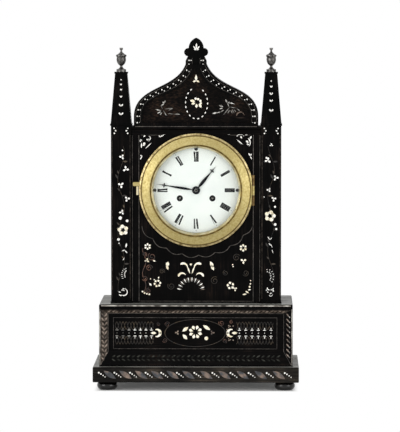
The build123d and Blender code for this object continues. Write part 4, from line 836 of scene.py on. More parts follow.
def ogee(side, inset, top_z):
    """One half of the ogee, so many millimetres inside the pediment's edge, up to a height in the neck."""
    control = [(x - u * inset, z - v * inset) for (x, z), (u, v) in OGEE_CONTROL]
    neck_x = control[-1][0]
    neck_z = OGEE_NECK_Z - OGEE_SILL
    half = [(control[0][0], OGEE_FOOT)]
    half += [on_curve(control, OGEE_BEND * i / OGEE_STEPS) for i in range(OGEE_STEPS + 1)]
    bend = (half[-1], control[-1], (neck_x, neck_z - STEP_HALF))
    half += [on_curve(bend, i / BEND_STEPS) for i in range(1, BEND_STEPS + 1)]
    half += [(neck_x, neck_z + STEP_HALF), (neck_x, top_z - OGEE_SILL)]
    return [(side * x, OGEE_SILL + z) for x, z in half]


def ogee_depth(step_back):
    """Depth along the ogee: on the moulding, and above it on the palmette's foot."""
    return lambda x, z: PEDIMENT_FRONT if z > OGEE_NECK_Z else OGEE_BAND_FRONT + step_back


for label, inset, step_back in (("outer", 2.4, 0.0), ("inner", 8.5, OGEE_STEP_BACK)):
    lines = [ogee(side, inset, LINE_TOP_Z) for side in (-1, 1)]
    strips(f"ogee_{label}_line", lines, ogee_depth(step_back), stringing, width=0.38)
for label, inset, step_back, radius in (("outer", 4.4, 0.0, 0.8), ("inner", 7.0, OGEE_STEP_BACK, 0.7)):
    lines = [ogee(side, inset, DOT_TOP_Z) for side in (-1, 1)]
    ogee_dot = slip_mesh(f"ogee_{label}_dot", dot(0.0, 0.0, radius), flat(0.0))
    repeat(f"ogee_{label}_dots", ogee_dot, OGEE_DOT_PAIRS, lines, ogee_depth(step_back), pearl)

# %% [markdown]
# Dial panel. A scalloped line hangs under the bezel: lobes of a circle about the dial's middle, with the
# wood left plain black inside. Above, each corner holds a sprig of pearl. The line could be joined from
# arcs, but one formula, a circle whose radius swells and falls back, gives all its lobes.

# %% Scalloped line and corner sprigs
LOBES = 8
LOBE_SPAN = 14.65
LOBE_START = -90 - 56.3
LOBE_STEPS = 8
LOBE_BULGE = 3.4
CUSP_RADIUS = 84.0
scallops = []
for i in range(LOBES * LOBE_STEPS + 1):
    swell = LOBE_BULGE * abs(math.sin(math.pi * i / LOBE_STEPS))
    scallops.append(around(0.0, DIAL_Z, CUSP_RADIUS + swell, LOBE_START + LOBE_SPAN * i / LOBE_STEPS))
strips("panel_scallop_line", [scallops], flat(PANEL_FRONT), stringing, width=0.8)

corner_sprigs = gather(
    (leaf, [(-67.6, 325.4, 3.6, 1.7, 50), (-73.0, 318.6, 4.6, 2.4, 60), (-72.4, 322.6, 3.4, 1.6, 330),
            (-70.4, 311.0, 7.0, 1.7, 88), (-69.0, 314.4, 3.4, 1.6, 20), (-65.4, 310.4, 11.0, 1.1, 44),
            (-46.9, 325.2, 7.6, 1.5, 30), (-47.9, 327.8, 2.8, 1.2, 300), (-72.2, 302.0, 3.0, 1.2, 340),
            (-72.2, 296.0, 6.2, 1.3, 62)]),
    (leaf, [(37.4, 330.6, 6.6, 1.3, 342), (57.0, 326.8, 3.6, 2.0, 300), (62.8, 327.6, 4.0, 2.0, 28),
            (69.0, 322.6, 5.0, 2.0, 62), (64.2, 321.0, 4.2, 2.4, 318), (65.2, 317.0, 3.4, 2.0, 330),
            (52.2, 322.4, 10.2, 1.2, 320), (67.4, 305.0, 4.6, 1.6, 300), (71.6, 304.0, 3.6, 1.6, 230),
            (69.4, 301.4, 5.2, 1.3, 298)]),
    (dot, [(-66.8, 317.0, 1.5), (-61.0, 321.6, 1.4)]),
    (horn, [(-61.3, 324.0, 2.6, 200, 250, 1.7), (57.0, 323.6, 5.4, 150, -120, 1.6),
            (62.0, 318.0, 7.6, 50, -88, 1.8)]))
inlay("panel_corner_sprigs", corner_sprigs, flat(PANEL_FRONT), pearl)

# %% [markdown]
# Under the scallops a palmette of curled leaves stands over a fan of rays, between two flowers, with
# small flowers and commas beside it and leafy corners. The rays of the fan step along an arc, thick and
# thin by turns. The two halves of the palmette mirror each other, so a loop draws both.

# %% Lower inlay of the dial panel
PALMETTE_X = -6.7
lower_slips = gather(
    (blossom, [(-62.6, 184.1, 4.4, 6, 90, 0.26), (60.7, 182.6, 4.9, 6, 90, 0.26),
               (-49.9, 136.4, 5.0, 6, 70, 0.36), (44.4, 133.8, 5.0, 5, 100, 0.34)]),
    (cluster, [(-63.4, 166.0, 3.2, 80), (61.0, 165.8, 4.0, 270), (50.2, 129.4, 3.0, 30)]),
    (leaf, [(-55.8, 166.2, 3.6, 1.8, 340), (-57.6, 133.4, 4.4, 2.2, 130),
            (PALMETTE_X, 158.4, 4.0, 3.0, 90, 0.75),
            (-58.8, 141.2, 2.0, 1.2, 90), (-48.6, 142.6, 2.6, 1.8, 80), (60.0, 122.0, 5.2, 2.0, 10),
            (63.6, 126.6, 5.0, 2.0, 330), (66.8, 128.0, 4.0, 1.8, 10), (-37.4, 158.2, 6.4, 4.4, 80),
            (-38.4, 160.6, 7.0, 3.0, 290), (18.2, 165.0, 9.0, 4.0, 296), (19.6, 160.6, 8.0, 3.6, 294)]),
    (dot, [(-69.2, 125.8, 1.1), (-66.6, 123.9, 1.1), (-63.6, 122.8, 1.0), (-60.4, 122.3, 1.1),
           (69.1, 132.2, 1.2), (70.0, 136.0, 0.9), (70.2, 140.3, 0.7), (47.1, 160.8, 0.8),
           (47.8, 158.4, 0.8), (-54.0, 141.2, 0.7)]))
for side in (-1, 1):
    lower_slips += horn(PALMETTE_X + 9.8 * side, 157.0, 5.4, 90 - 42 * side, 142 * side, 3.4)
    lower_slips += leaf(PALMETTE_X + 1.0 * side, 148.4, 10.0, 1.9, 90 - 19 * side, 0.6)
    lower_slips += horn(PALMETTE_X + 11.1 * side, 144.8, 5.0, 90 - 85 * side, 150 * side, 3.2)
inlay("panel_bone_palmette", lower_slips, flat(PANEL_FRONT), bone)

FAN_MIDDLE = (PALMETTE_X, 126.4)
FAN_RADIUS = 14.6
FAN_RAYS = 10
FAN_TURN, FAN_STEPS = -5.1, 31
for label, width, start, finish in (("thick", 1.5, 170, pearl), ("thin", 0.6, 161, dull_pearl)):
    fan_arc = arc(*FAN_MIDDLE, FAN_RADIUS, start, FAN_TURN, FAN_STEPS)
    ray = slip_mesh(f"fan_{label}_ray", leaf(0.0, -3.2, 6.8, width, 90, 0.72), flat(0.0))
    repeat(f"panel_fan_{label}_rays", ray, FAN_RAYS, [fan_arc], flat(PANEL_FRONT), finish)

# %% [markdown]
# Reddened painted vines curl up the left side and fainter curls fill the ground. A curl is a spiral that
# stops before its middle. All are drawn as strips, because a brush line keeps its width as stringing
# does.

# %% Painted vines of the dial panel
CURL_STEPS, CURL_TURN, CURL_EYE = 26, 22, 6
VINE_X, VINE_SWING, VINE_WAVE = -67.0, 2.2, 5.0
VINE_HEIGHTS = range(124, 184, 2)


def curl(x, z, radius, turn):
    """Spiral that winds inwards about a place."""
    shares = [1 - i / (CURL_STEPS + CURL_EYE) for i in range(CURL_STEPS)]
    return [around(x, z, radius * share, turn + CURL_TURN * i) for i, share in enumerate(shares)]


LEFT_CURLS = ((-60.5, 156.3, 4.4, 0), (-57.0, 171.0, 5.4, 120), (-66.0, 143.0, 3.6, 200),
              (-66.5, 174.0, 3.0, 300), (-61.5, 127.0, 3.4, 80))
FAINT_CURLS = ((24.0, 140.0, 5.4, 60), (-32.0, 133.0, 4.8, 150), (52.0, 170.0, 4.8, 30),
               (64.0, 150.0, 4.2, 210), (38.0, 150.0, 3.6, 100), (-44.0, 152.0, 3.6, 330))
left_vines = [curl(*place) for place in LEFT_CURLS]
left_vines.append([(VINE_X + VINE_SWING * math.sin(z / VINE_WAVE), z) for z in VINE_HEIGHTS])
strips("panel_left_vines", left_vines, flat(PANEL_FRONT), red_paint, width=0.9)
faint_vines = [curl(*place) for place in FAINT_CURLS]
strips("panel_faint_vines", faint_vines, flat(PANEL_FRONT), bronze_paint, width=0.6)

# %% [markdown]
# Fine lines frame the panel and the towers: grey stringing on the stiles beside the dial, a short line in
# each upper corner, and grey lines where the stain is rubbed off along the towers' edges. Each line is a
# path with two ends, drawn as a strip, because stringing is a thin bar in a sawn groove.

# %% Lines of the case front
STILE_FRONT = front_of("dial_stiles")
CASE_FOOT, CASE_HEAD = 113.4, 328.0
STILE_LINES = (73.6, 82.2)
CORNER_LINE_START, CORNER_LINE_END = 43.0, 71.0
PANEL_HALF, SILL_HALF, SILL_LINE_Z = 72.0, 78.0, 339.2
stile_paths = [[(side * x, CASE_FOOT), (side * x, CASE_HEAD)] for side in (-1, 1) for x in STILE_LINES]
strips("stile_lines", stile_paths, flat(STILE_FRONT), stringing, width=0.7)
panel_paths = [[(-CORNER_LINE_END, CASE_HEAD), (-CORNER_LINE_START, CASE_HEAD)],
               [(CORNER_LINE_START, CASE_HEAD), (CORNER_LINE_END, CASE_HEAD)],
               [(-PANEL_HALF, CASE_FOOT), (PANEL_HALF, CASE_FOOT)]]
strips("panel_frame_lines", panel_paths, flat(PANEL_FRONT), stringing, width=0.6)
TOWER_HALF = 13.0
TOWER_LINE_INSET, TOWER_LINE_LIFT = 1.4, 4
tower_paths = []
for side in (-1, 1):
    for edge in (-1, 1):
        x = side * TOWER_X + edge * (TOWER_HALF - TOWER_LINE_INSET)
        tower_paths.append([(x, CASE_FOOT + TOWER_LINE_LIFT), (x, CASE_HEAD)])
strips("tower_rubbed_lines", tower_paths, flat(TOWER_FRONT), grey_wood_and_sheen, width=0.5)
sill = [[(-SILL_HALF, SILL_LINE_Z), (SILL_HALF, SILL_LINE_Z)]]
strips("pediment_sill_line", sill, flat(front_of("cornice_rail")), stringing, width=0.8)

# %% [markdown]
# Plinth. A frame slopes from a narrow border down to the sunk panel, steeply at the sides and top and
# gently at the foot. One function gives its depth anywhere, so the ornament can lie on the slopes.

# %% Slopes of the plinth frame
PLINTH_FRONT = front_of("plinth_front_frame")
PLINTH_PANEL = front_of("plinth_front_panel")
PLINTH_DEPTH = PLINTH_PANEL - PLINTH_FRONT
PLINTH_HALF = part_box("plinth_front_frame")[1].x / MM
FRAME_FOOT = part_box("plinth_front_frame")[0].z / MM
FRAME_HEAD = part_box("plinth_front_frame")[1].z / MM
FRAME_BORDER = 2.0
STILE_SLOPE, HEAD_SLOPE, FOOT_SLOPE = 9.5, 5.3, 16.5
OUTER_X = PLINTH_HALF - FRAME_BORDER
OUTER_FOOT, OUTER_HEAD = FRAME_FOOT + FRAME_BORDER, FRAME_HEAD - FRAME_BORDER
INNER_X = OUTER_X - STILE_SLOPE
INNER_FOOT, INNER_HEAD = OUTER_FOOT + FOOT_SLOPE, OUTER_HEAD - HEAD_SLOPE


def plinth_depth(x, z):
    """Depth of the frame's slopes, its border and its panel."""
    shares = ((OUTER_X - abs(x)) / STILE_SLOPE, (OUTER_HEAD - z) / HEAD_SLOPE, (z - OUTER_FOOT) / FOOT_SLOPE)
    return PLINTH_FRONT + PLINTH_DEPTH * min(1.0, max(0.0, min(shares)))


def tilted(width):
    """Plane that falls back by the frame's depth over a width, for motifs on a slope."""
    return lambda x, z: z * PLINTH_DEPTH / width


print("plinth front", round(PLINTH_FRONT, 2), "panel", round(PLINTH_PANEL, 2))

# %% [markdown]
# The carving on the frame: chevrons up the left stile, a rope with flaking dashes of pearl up the right
# one, a faint rope along the top and leaves along the foot. Every row is one motif stepped along a line
# in the middle of its slope.

# %% Carving of the plinth frame
STILE_MIDDLE = (OUTER_X + INNER_X) / 2
HEAD_MIDDLE = (OUTER_HEAD + INNER_HEAD) / 2
FOOT_MIDDLE = (OUTER_FOOT + INNER_FOOT) / 2
ROW_HEAD, LEFT_ROW_FOOT, RIGHT_ROW_FOOT = 97.0, 40.0, 45.0
HEAD_ROW_HALF, FOOT_ROW_HALF = 112.0, 106.0
left_line = [(-STILE_MIDDLE, ROW_HEAD), (-STILE_MIDDLE, LEFT_ROW_FOOT)]
right_line = [(STILE_MIDDLE, RIGHT_ROW_FOOT), (STILE_MIDDLE, ROW_HEAD)]
head_line = [(-HEAD_ROW_HALF, HEAD_MIDDLE), (HEAD_ROW_HALF, HEAD_MIDDLE)]
foot_line = [(-FOOT_ROW_HALF, FOOT_MIDDLE), (FOOT_ROW_HALF, FOOT_MIDDLE)]
chevron = gather((leaf, [(2.6, 0.0, 6.2, 1.9, 145), (2.6, 0.0, 6.2, 1.9, 215)]))
dash = leaf(-2.4, -1.6, 5.6, 1.7, 30)
slash = leaf(-2.4, -2.4, 6.0, 1.7, 40)
pearl_dash = leaf(-1.0, -1.8, 3.0, 1.0, 215)
foot_leaf = gather((leaf, [(-2.6, 0.9, 6.0, 1.9, 28), (-2.6, -0.9, 6.0, 1.9, 332)]))
for name, slips, count, line, slope, finish in (
        ("plinth_left_chevrons", chevron, 11, left_line, STILE_SLOPE, carved_wood),
        ("plinth_right_rope", slash, 9, right_line, STILE_SLOPE, carved_wood),
        ("plinth_right_dashes", pearl_dash, 9, right_line, STILE_SLOPE, flaking_pearl),
        ("plinth_head_rope", dash, 44, head_line, -HEAD_SLOPE, carved_wood),
        ("plinth_foot_leaves", foot_leaf, 34, foot_line, FOOT_SLOPE, stained_wood)):
    motif_mesh = slip_mesh(name + "_slip", slips, tilted(slope))
    repeat(name, motif_mesh, count, [line], plinth_depth, finish)

# %% [markdown]
# The left and top slopes of the frame are painted grey, a painted sheen, as thin as paint, so each is one
# flat slip on its slope. A fine line follows the inner edge and runs out along the lower mitres, and the
# outer edges carry pale lines, painted highlights on the arrises.

# %% Painted sheen on the slopes and painted highlights on the edges of the plinth
stile_face = [(-OUTER_X, OUTER_FOOT), (-INNER_X, INNER_FOOT), (-INNER_X, INNER_HEAD), (-OUTER_X, OUTER_HEAD)]
head_face = [(-INNER_X, INNER_HEAD), (INNER_X, INNER_HEAD), (OUTER_X, OUTER_HEAD), (-OUTER_X, OUTER_HEAD)]
# Painted sheen: the plinth's left and top slopes are coloured grey.
inlay("plinth_rubbed_slopes", [stile_face, head_face], plinth_depth, grey_wood_and_sheen, rise=PAINT_RISE)
edge = [(OUTER_X, OUTER_FOOT), (INNER_X, INNER_FOOT), (INNER_X, INNER_HEAD)]
edge += [(-x, z) for x, z in reversed(edge)]
strips("plinth_inner_line", [edge], plinth_depth, stringing, width=0.6)

# Painted highlight: pale lines along the plinth's top and side arrises.
ARRIS_Z, ARRIS_X = 109.2, 122.0
arris = [[(-ARRIS_X, ARRIS_Z), (ARRIS_X, ARRIS_Z)]]
strips("plinth_top_arris", arris, flat(PLINTH_FRONT), arris_highlight, width=1.3)
BORDER_X = PLINTH_HALF - FRAME_BORDER / 2
BORDER_FOOT, BORDER_HEAD = FRAME_FOOT + 1.5, FRAME_HEAD - 1.0
border_lines = [[(side * BORDER_X, BORDER_FOOT), (side * BORDER_X, BORDER_HEAD)] for side in (-1, 1)]
strips("plinth_side_arris", border_lines, flat(PLINTH_FRONT), arris_highlight, width=0.9)

# %% [markdown]
# The plinth's panel: a cream flower with leaves in a cartouche, a crescent on each side, and rows of
# small double sprigs. The outermost sprigs on the left have lost their shine. The sprigs grow from one
# motif at even steps. The flower and the crescents stand alone, so their slips are listed.

# %% Plinth panel inlay
ROW_Z = 73.4
sprig = gather(
    (leaf, [(0.0, 3.0, 4.0, 1.2, 90), (0.2, 3.4, 2.0, 0.9, 20), (-0.2, 3.4, 2.0, 0.9, 160),
            (0.0, -3.0, 4.6, 1.2, 270), (0.2, -3.4, 2.0, 0.9, 340), (-0.2, -3.4, 2.0, 0.9, 200)]),
    (dot, [(0.0, 0.0, 0.5)]))
sprig_mesh = slip_mesh("double_sprig", sprig, flat(0.0))
for name, count, first, last, finish in (
        ("plinth_dull_sprigs", 3, -101.8, -86.3, flaking_pearl),
        ("plinth_left_sprigs", 4, -78.6, -57.3, pearl),
        ("plinth_right_sprigs", 6, 56.0, 96.6, pearl)):
    repeat(name, sprig_mesh, count, [[(first, ROW_Z), (last, ROW_Z)]], flat(PLINTH_PANEL), finish)

cartouche = gather(
    (blossom, [(-0.6, 74.8, 8.8, 8, 70, 0.34)]),
    (leaf, [(-17.4, 75.4, 9.4, 4.2, 38), (-17.0, 71.6, 8.6, 4.2, 312), (9.2, 83.6, 11.0, 4.2, 326),
            (-51.0, 73.4, 7.4, 3.4, 180), (46.0, 73.6, 7.4, 3.4, 0)]),
    (dot, [(13.4, 66.6, 2.4)]),
    (horn, [(-50.6, 73.4, 4.6, -14, 130, 4.0), (-50.6, 73.4, 4.6, 14, -130, 4.0),
            (45.6, 73.6, 4.6, 166, 130, 4.0), (45.6, 73.6, 4.6, 194, -130, 4.0)]))
inlay("plinth_bone_flower", cartouche, flat(PLINTH_PANEL), bone)
small_slips = gather(
    (cluster, [(-24.0, 74.0, 3.0, 180), (21.0, 74.0, 3.0, 0), (43.0, 82.0, 2.2, 120),
               (43.0, 65.0, 2.2, 240)]),
    (dot, [(40.0, 78.0, 0.8), (40.5, 69.0, 0.8), (48.0, 82.6, 0.8), (48.0, 64.4, 0.8)]))
inlay("plinth_small_slips", small_slips, flat(PLINTH_PANEL), dull_pearl)

# %% [markdown]
# Lines on the same panel: a thin stringing line round the whole field, a painted oval round the
# cartouche, a net of crossing waves painted behind the sprigs, and reddened curls. Two waves of opposite
# phase make a row of the net's meshes.

# %% Lines and paint of the plinth panel
FIELD_LEFT, FIELD_RIGHT = -106.3, 104.3
FIELD_FOOT, FIELD_HEAD = 53.0, 93.3
field = [(FIELD_LEFT, FIELD_FOOT), (FIELD_RIGHT, FIELD_FOOT), (FIELD_RIGHT, FIELD_HEAD),
         (FIELD_LEFT, FIELD_HEAD)]
strips("plinth_field_line", [field], flat(PLINTH_PANEL), stringing, closed=True, width=0.7)
CARTOUCHE_X, CARTOUCHE_HALF_WIDTH, CARTOUCHE_HALF_HEIGHT = -1.0, 39.0, 17.5
CARTOUCHE_STEPS = 60
oval = arc(CARTOUCHE_X, ROW_Z, CARTOUCHE_HALF_WIDTH, 0, 360 / CARTOUCHE_STEPS, CARTOUCHE_STEPS,
           CARTOUCHE_HALF_HEIGHT)
strips("plinth_cartouche_line", [oval], flat(PLINTH_PANEL), bronze_paint, closed=True, width=0.7)
NET_PITCH, NET_SWING, NET_MIDDLE, NET_START = 8.1, 5.0, 1.9, 112
net = []
for start, end in ((-104, -54), (52, 100)):
    for swing in (NET_SWING, -NET_SWING):
        for phase in (0.0, math.pi):
            half_steps = range(2 * start, 2 * end)
            waves = [math.cos(math.pi * (x - NET_START) / NET_PITCH + phase) for x in half_steps]
            net.append([(x / 2, ROW_Z + swing * (NET_MIDDLE + wave)) for x, wave in zip(half_steps, waves)])
strips("plinth_painted_net", net, flat(PLINTH_PANEL), bronze_paint, width=0.5)
PLINTH_CURLS = ((-37.0, 84.6, 3.6, 20), (33.0, 86.4, 3.8, 150), (-40.0, 64.0, 3.2, 200),
                (37.0, 63.0, 3.0, 300), (45.6, 88.0, 2.4, 60), (-48.0, 85.0, 2.4, 100))
plinth_curls = [curl(*place) for place in PLINTH_CURLS]
strips("plinth_painted_curls", plinth_curls, flat(PLINTH_PANEL), red_paint, width=0.6)

# %% [markdown]
# Base slab. Its front carries a flat rope: slanting bands of brown and green shell with four small pearl
# dots on the black between them. The inlay may not stand in front of the solid, so this slab has a
# shallow sunk field inside a narrow border, as the real one has a line sawn along its edges. It replaces
# the plain slab of the CAD part: a box with rounded level edges, whose front face is inset and pushed in.

# %% Base slab
SLAB_LOW, SLAB_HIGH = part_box("base_slab")
SLAB_ROUND = 1.5
SLAB_BORDER = 1.6
FIELD_SINK = 0.4
work = bmesh.new()
bmesh.ops.create_cube(work, size=1.0)
for vertex in work.verts:
    for axis in range(3):
        vertex.co[axis] = SLAB_HIGH[axis] if vertex.co[axis] > 0 else SLAB_LOW[axis]
level_edges = [e for e in work.edges if abs(e.verts[0].co.z - e.verts[1].co.z) < SLAB_ROUND * MM]
bmesh.ops.bevel(work, geom=level_edges, offset=SLAB_ROUND * MM, segments=3, profile=0.5, affect="EDGES")
face = min(work.faces, key=lambda f: f.calc_center_median().y)
bmesh.ops.inset_region(work, faces=[face], thickness=SLAB_BORDER * MM, depth=-FIELD_SINK * MM)
slab = placed("base_slab_dressed", finished_mesh("base_slab_dressed", work), "case", slab_wood)
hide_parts("base_slab")

SLAB_FIELD = SLAB_LOW.y / MM + FIELD_SINK
ROPE_Z = middle_of("base_slab", Z)
DOT_ROW = [(-4.0, 2.7, 1.1), (-1.3, 1.0, 0.95), (1.5, -0.9, 0.8), (4.0, -2.8, 0.65)]
row_mesh = slip_mesh("slab_dot_row", gather((dot, DOT_ROW)), flat(0.0))
band_mesh = slip_mesh("slab_band", leaf(-8.0, 5.2, 19.0, 6.4, -33), flat(0.0))
for name, motif_mesh, count, first, last, finish in (
        ("slab_left_dots", row_mesh, 6, -120.5, -20.2, pearl),
        ("slab_right_dots", row_mesh, 6, 2.2, 118.4, pearl),
        ("slab_left_bands", band_mesh, 6, -110.5, -9.2, abalone),
        ("slab_right_bands", band_mesh, 5, 13.8, 106.8, abalone)):
    repeat(name, motif_mesh, count, [[(first, ROPE_Z), (last, ROPE_Z)]], flat(SLAB_FIELD), finish)

# %% [markdown]
# Dial figures: Roman hours with their feet to the middle, built from thick bars and hairlines as an
# enameller draws them. A letter is its width and its strokes, each given by where its head and its foot
# stand and how thick it is. A font could set the hours, but its serifs would not match these plain
# strokes. Twelve short ticks stand outside them.

# %% Dial figures
FIGURE_FOOT, FIGURE_HEAD = 36.8, 49.8
BAR, BROAD, HAIR = 1.62, 2.0, 0.5
LETTERS = {
    "I": (1.7, [(0.85, 0.85, BAR)]),
    "V": (4.4, [(0.7, 2.2, BROAD), (3.8, 2.2, HAIR)]),
    "X": (3.2, [(0.9, 2.1, BROAD), (2.5, 0.7, HAIR)])}
HOURS = ["XII", "I", "II", "III", "IIII", "V", "VI", "VII", "VIII", "IX", "X", "XI"]


def figure(text, turn):
    """Strokes of one hour, turned clockwise from the top of the dial."""
    pen = -sum(LETTERS[letter][0] for letter in text) / 2
    quads = []
    for letter in text:
        advance, strokes = LETTERS[letter]
        for head_x, foot_x, thick in strokes:
            head, foot, half = pen + head_x, pen + foot_x, thick / 2
            quads.append([(head - half, FIGURE_HEAD), (head + half, FIGURE_HEAD),
                          (foot + half, FIGURE_FOOT), (foot - half, FIGURE_FOOT)])
        pen += advance
    return [moved(quad, 0.0, DIAL_Z, -turn) for quad in quads]


HOUR_COUNT = len(HOURS)
HOUR_TURN = 360 / HOUR_COUNT
figures = [slip for hour, text in enumerate(HOURS) for slip in figure(text, HOUR_TURN * hour)]
inlay("dial_figures", figures, flat(DIAL_FRONT), black_enamel, rise=PAINT_RISE)
TICK_RADIUS = 52.2
CIRCLE_TURN, CIRCLE_STEPS = 3, 120
tick = slip_mesh("dial_tick", leaf(0.0, -0.9, 1.8, 0.6, 90), flat(0.0), PAINT_RISE)
tick_circle = arc(0.0, DIAL_Z, TICK_RADIUS, 90, -CIRCLE_TURN, CIRCLE_STEPS)
repeat("dial_ticks", tick, HOUR_COUNT, [tick_circle], flat(DIAL_FRONT), black_enamel, closed=True)

# %% [markdown]
# Screws. Two dark slotted screws hold the dial at III and IX, and six steel ones hold the ring round the
# back door. A screw head is a low turned disc with a slot. It is drawn once for each size and stepped
# round a circle. The slot could be cut with a Boolean, but two half discs with a gap between them give it
# directly.

# %% Screws
HEAD_SIDES = 20
SLOT_SHARE = 0.07
HEAD_TAPER, HEAD_SINK = 0.86, 0.1


def screw_mesh(name, radius, height, facing):
    """Slotted head that stands out of an upright plane towards -Y or +Y."""
    work = bmesh.new()
    slot = SLOT_SHARE * radius
    rim = arc(0.0, 0.0, radius, 0, 360 / HEAD_SIDES, HEAD_SIDES)
    for sign in (-1, 1):
        half = [(x, sign * max(sign * z, slot)) for x, z in rim if sign * z > -slot]
        low = [work.verts.new((x * MM, -HEAD_SINK * facing * MM, z * MM)) for x, z in half]
        top = [work.verts.new((HEAD_TAPER * x * MM, facing * height * MM, HEAD_TAPER * z * MM))
               for x, z in half]
        close_block(work, low, top)
    return finished_mesh(name, work)


DIAL_SCREWS, DIAL_SCREW_RADIUS = 2, 53.1
RING_SCREWS, RING_SCREW_RADIUS = 6, 55.6
BACK_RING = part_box("back_ring")[1].y / MM
dial_circle = arc(0.0, DIAL_Z, DIAL_SCREW_RADIUS, 0, -CIRCLE_TURN, CIRCLE_STEPS)
ring_circle = arc(0.0, DIAL_Z, RING_SCREW_RADIUS, 30, CIRCLE_TURN, CIRCLE_STEPS)
dial_screw = screw_mesh("dial_screw", radius=2.2, height=0.6, facing=-1)
ring_screw = screw_mesh("ring_screw", radius=1.1, height=0.5, facing=1)
repeat("dial_screws", dial_screw, DIAL_SCREWS, [dial_circle], flat(DIAL_FRONT), black_enamel, closed=True)
repeat("back_ring_screws", ring_screw, RING_SCREWS, [ring_circle], flat(BACK_RING), steel, closed=True)

# %% [markdown]
# The bezel is one turning, but its zones are coloured apart: the rim is pale brass, a painted highlight,
# two turned grooves are dark brass, painted shade, and the steep inner side is pale brass, a painted
# reflection of the pale dial. Each zone is a thin skin on the solid, turned about the dial's axis and
# riding on the bezel. The rim stops beside the hinge, where the solid is cut away. The same function turns
# the black sleeves that line the two winding holes, painted shade inside them, and the collar round the
# regulator. Colouring the faces of the solid would need its mesh cut up, so a skin is simpler.

# %% Turned skins and sleeves
TURN_STEPS = 96
SKIN = 0.08
SEAM = 0.001
HINGE_SPAN = 17
BEZEL_CREST = front_of("bezel_ring")


def turned(name, profile, front, x, z, finish, body, gap=0):
    """Closed profile of (radius, depth from a front) turned about an axis along Y, open by so many degrees
    each side of +X."""
    work = bmesh.new()
    rings = []
    for i in range(TURN_STEPS + 1):
        bearing = gap + (360 - 2 * gap) * i / TURN_STEPS
        places = [(*around(x, z, radius, bearing), front + depth) for radius, depth in profile]
        rings.append([work.verts.new((px * MM, y * MM, pz * MM)) for px, pz, y in places])
    for a, b in zip(rings, rings[1:]):
        for i in range(len(profile)):
            j = (i + 1) % len(profile)
            work.faces.new((a[i], a[j], b[j], b[i]))
    if gap:
        work.faces.new(rings[0])
        work.faces.new(rings[-1])
    bmesh.ops.remove_doubles(work, verts=work.verts, dist=SEAM * MM)
    placed(name, finished_mesh(name, work), body, finish)


# Painted light on the bezel: a pale rim as a painted highlight, dark grooves as painted shade, and a pale
# inner slope as a painted reflection of the dial.
pale_brass_and_reflection = metal("Brass, burnished pale", "e6ddc0", 0.30, "d8c898", 8.0, 0.8, 0.02)
groove_shade = metal("Brass, dark, painted shade in a turned groove", "7a673a", 0.6, "4c3d21", 5.0, 0.8, 0.05)
rim_highlight_brass = metal("Brass, pale, painted highlight on the rim", "cdbb8c", 0.40, "75643f", 5.0, 0.8, 0.08)
for name, inner, outer, finish, gap in (
        ("bezel_inner_slope", (54.85, 4.8), (57.0, 0.9), pale_brass_and_reflection, 0),
        ("bezel_inner_groove", (57.4, 0.7), (59.4, 0.0), groove_shade, 0),
        ("bezel_outer_groove", (69.6, 4.6), (70.5, 5.0), groove_shade, 0),
        ("bezel_rim_skin", (71.3, 7.0), (73.2, 7.76), rim_highlight_brass, HINGE_SPAN)):
    front = [(radius, depth - SKIN) for radius, depth in (inner, outer)]
    back = [(radius, depth + SKIN) for radius, depth in (outer, inner)]
    turned(name, front + back, BEZEL_CREST, 0.0, DIAL_Z, finish, "bezel", gap)

WINDING_SPREAD, WINDING_DROP = 21.0, 10.5
REGULATOR_RISE = 53.2
COLLAR = ((1.0, 0.1), (2.3, 0.1), (2.3, -0.25), (1.0, -0.25))
HOLE_SHADE_SLEEVE = ((3.97, 0.0), (3.97, 5.0), (3.5, 5.0), (3.5, 0.0))
turned("regulator_collar", COLLAR, DIAL_FRONT, 0.0, DIAL_Z + REGULATOR_RISE, black_enamel, "case")
# Painted shade: a black sleeve lines each winding hole.
WINDING_Z = DIAL_Z - WINDING_DROP
for side, label in ((-1, "left"), (1, "right")):
    hole_x = side * WINDING_SPREAD
    turned(f"winding_sleeve_{label}", HOLE_SHADE_SLEEVE, DIAL_FRONT, hole_x, WINDING_Z, black_enamel, "case")

# %% [markdown]
# The regulator above XII and the winding squares are dark steel, painted shade inside their holes, and
# the keys have rubbed the ends of the squares grey. The fixed ring behind the bezel is dark brown, painted
# shade at the hinge, and the catch under the thumb tab is rubbed bright. A small grey ring is turned on
# the minute hand's boss as a painted highlight, and each hand has a four-pointed star, a thin slip of
# blued steel that rides with it.

# %% Painted shade on steel and ring, a painted highlight, and stars of the hands
# Painted shade: the arbors in their holes and the fixed ring by the hinge are coloured dark.
regulator_shade_steel = metal("Steel, dark, painted shade in the regulator hole", "55575a", 0.4, "1c1d1f", 3.0, 0.5, 0.03)
arbor_shade_steel = metal("Steel, black, painted shade in the winding holes", "1f2022", 0.5, "0c0c0d", 3.0, 0.5, 0.03)
grey_steel_and_highlight = metal("Steel, rubbed grey", "8f8d88", 0.45, "504d49", 2.0, 0.5, 0.03)
hinge_shade_brass = metal("Brass, dark brown, painted shade at the hinge", "7c6744", 0.46, "57452c", 5.0, 0.8, 0.08)
for name, finish in (
        ("going_winding_arbor", arbor_shade_steel), ("strike_winding_arbor", arbor_shade_steel),
        ("regulator_arbor", regulator_shade_steel), ("dial_ring", hinge_shade_brass), ("bezel_catch", pale_brass_and_reflection)):
    dress(name, finish)

TIP = ((0.0, 0.05), (1.5, 0.05), (1.3, -0.2), (0.0, -0.25))
COLLET = ((1.2, 0.05), (2.2, 0.05), (2.1, -0.15), (1.3, -0.15))
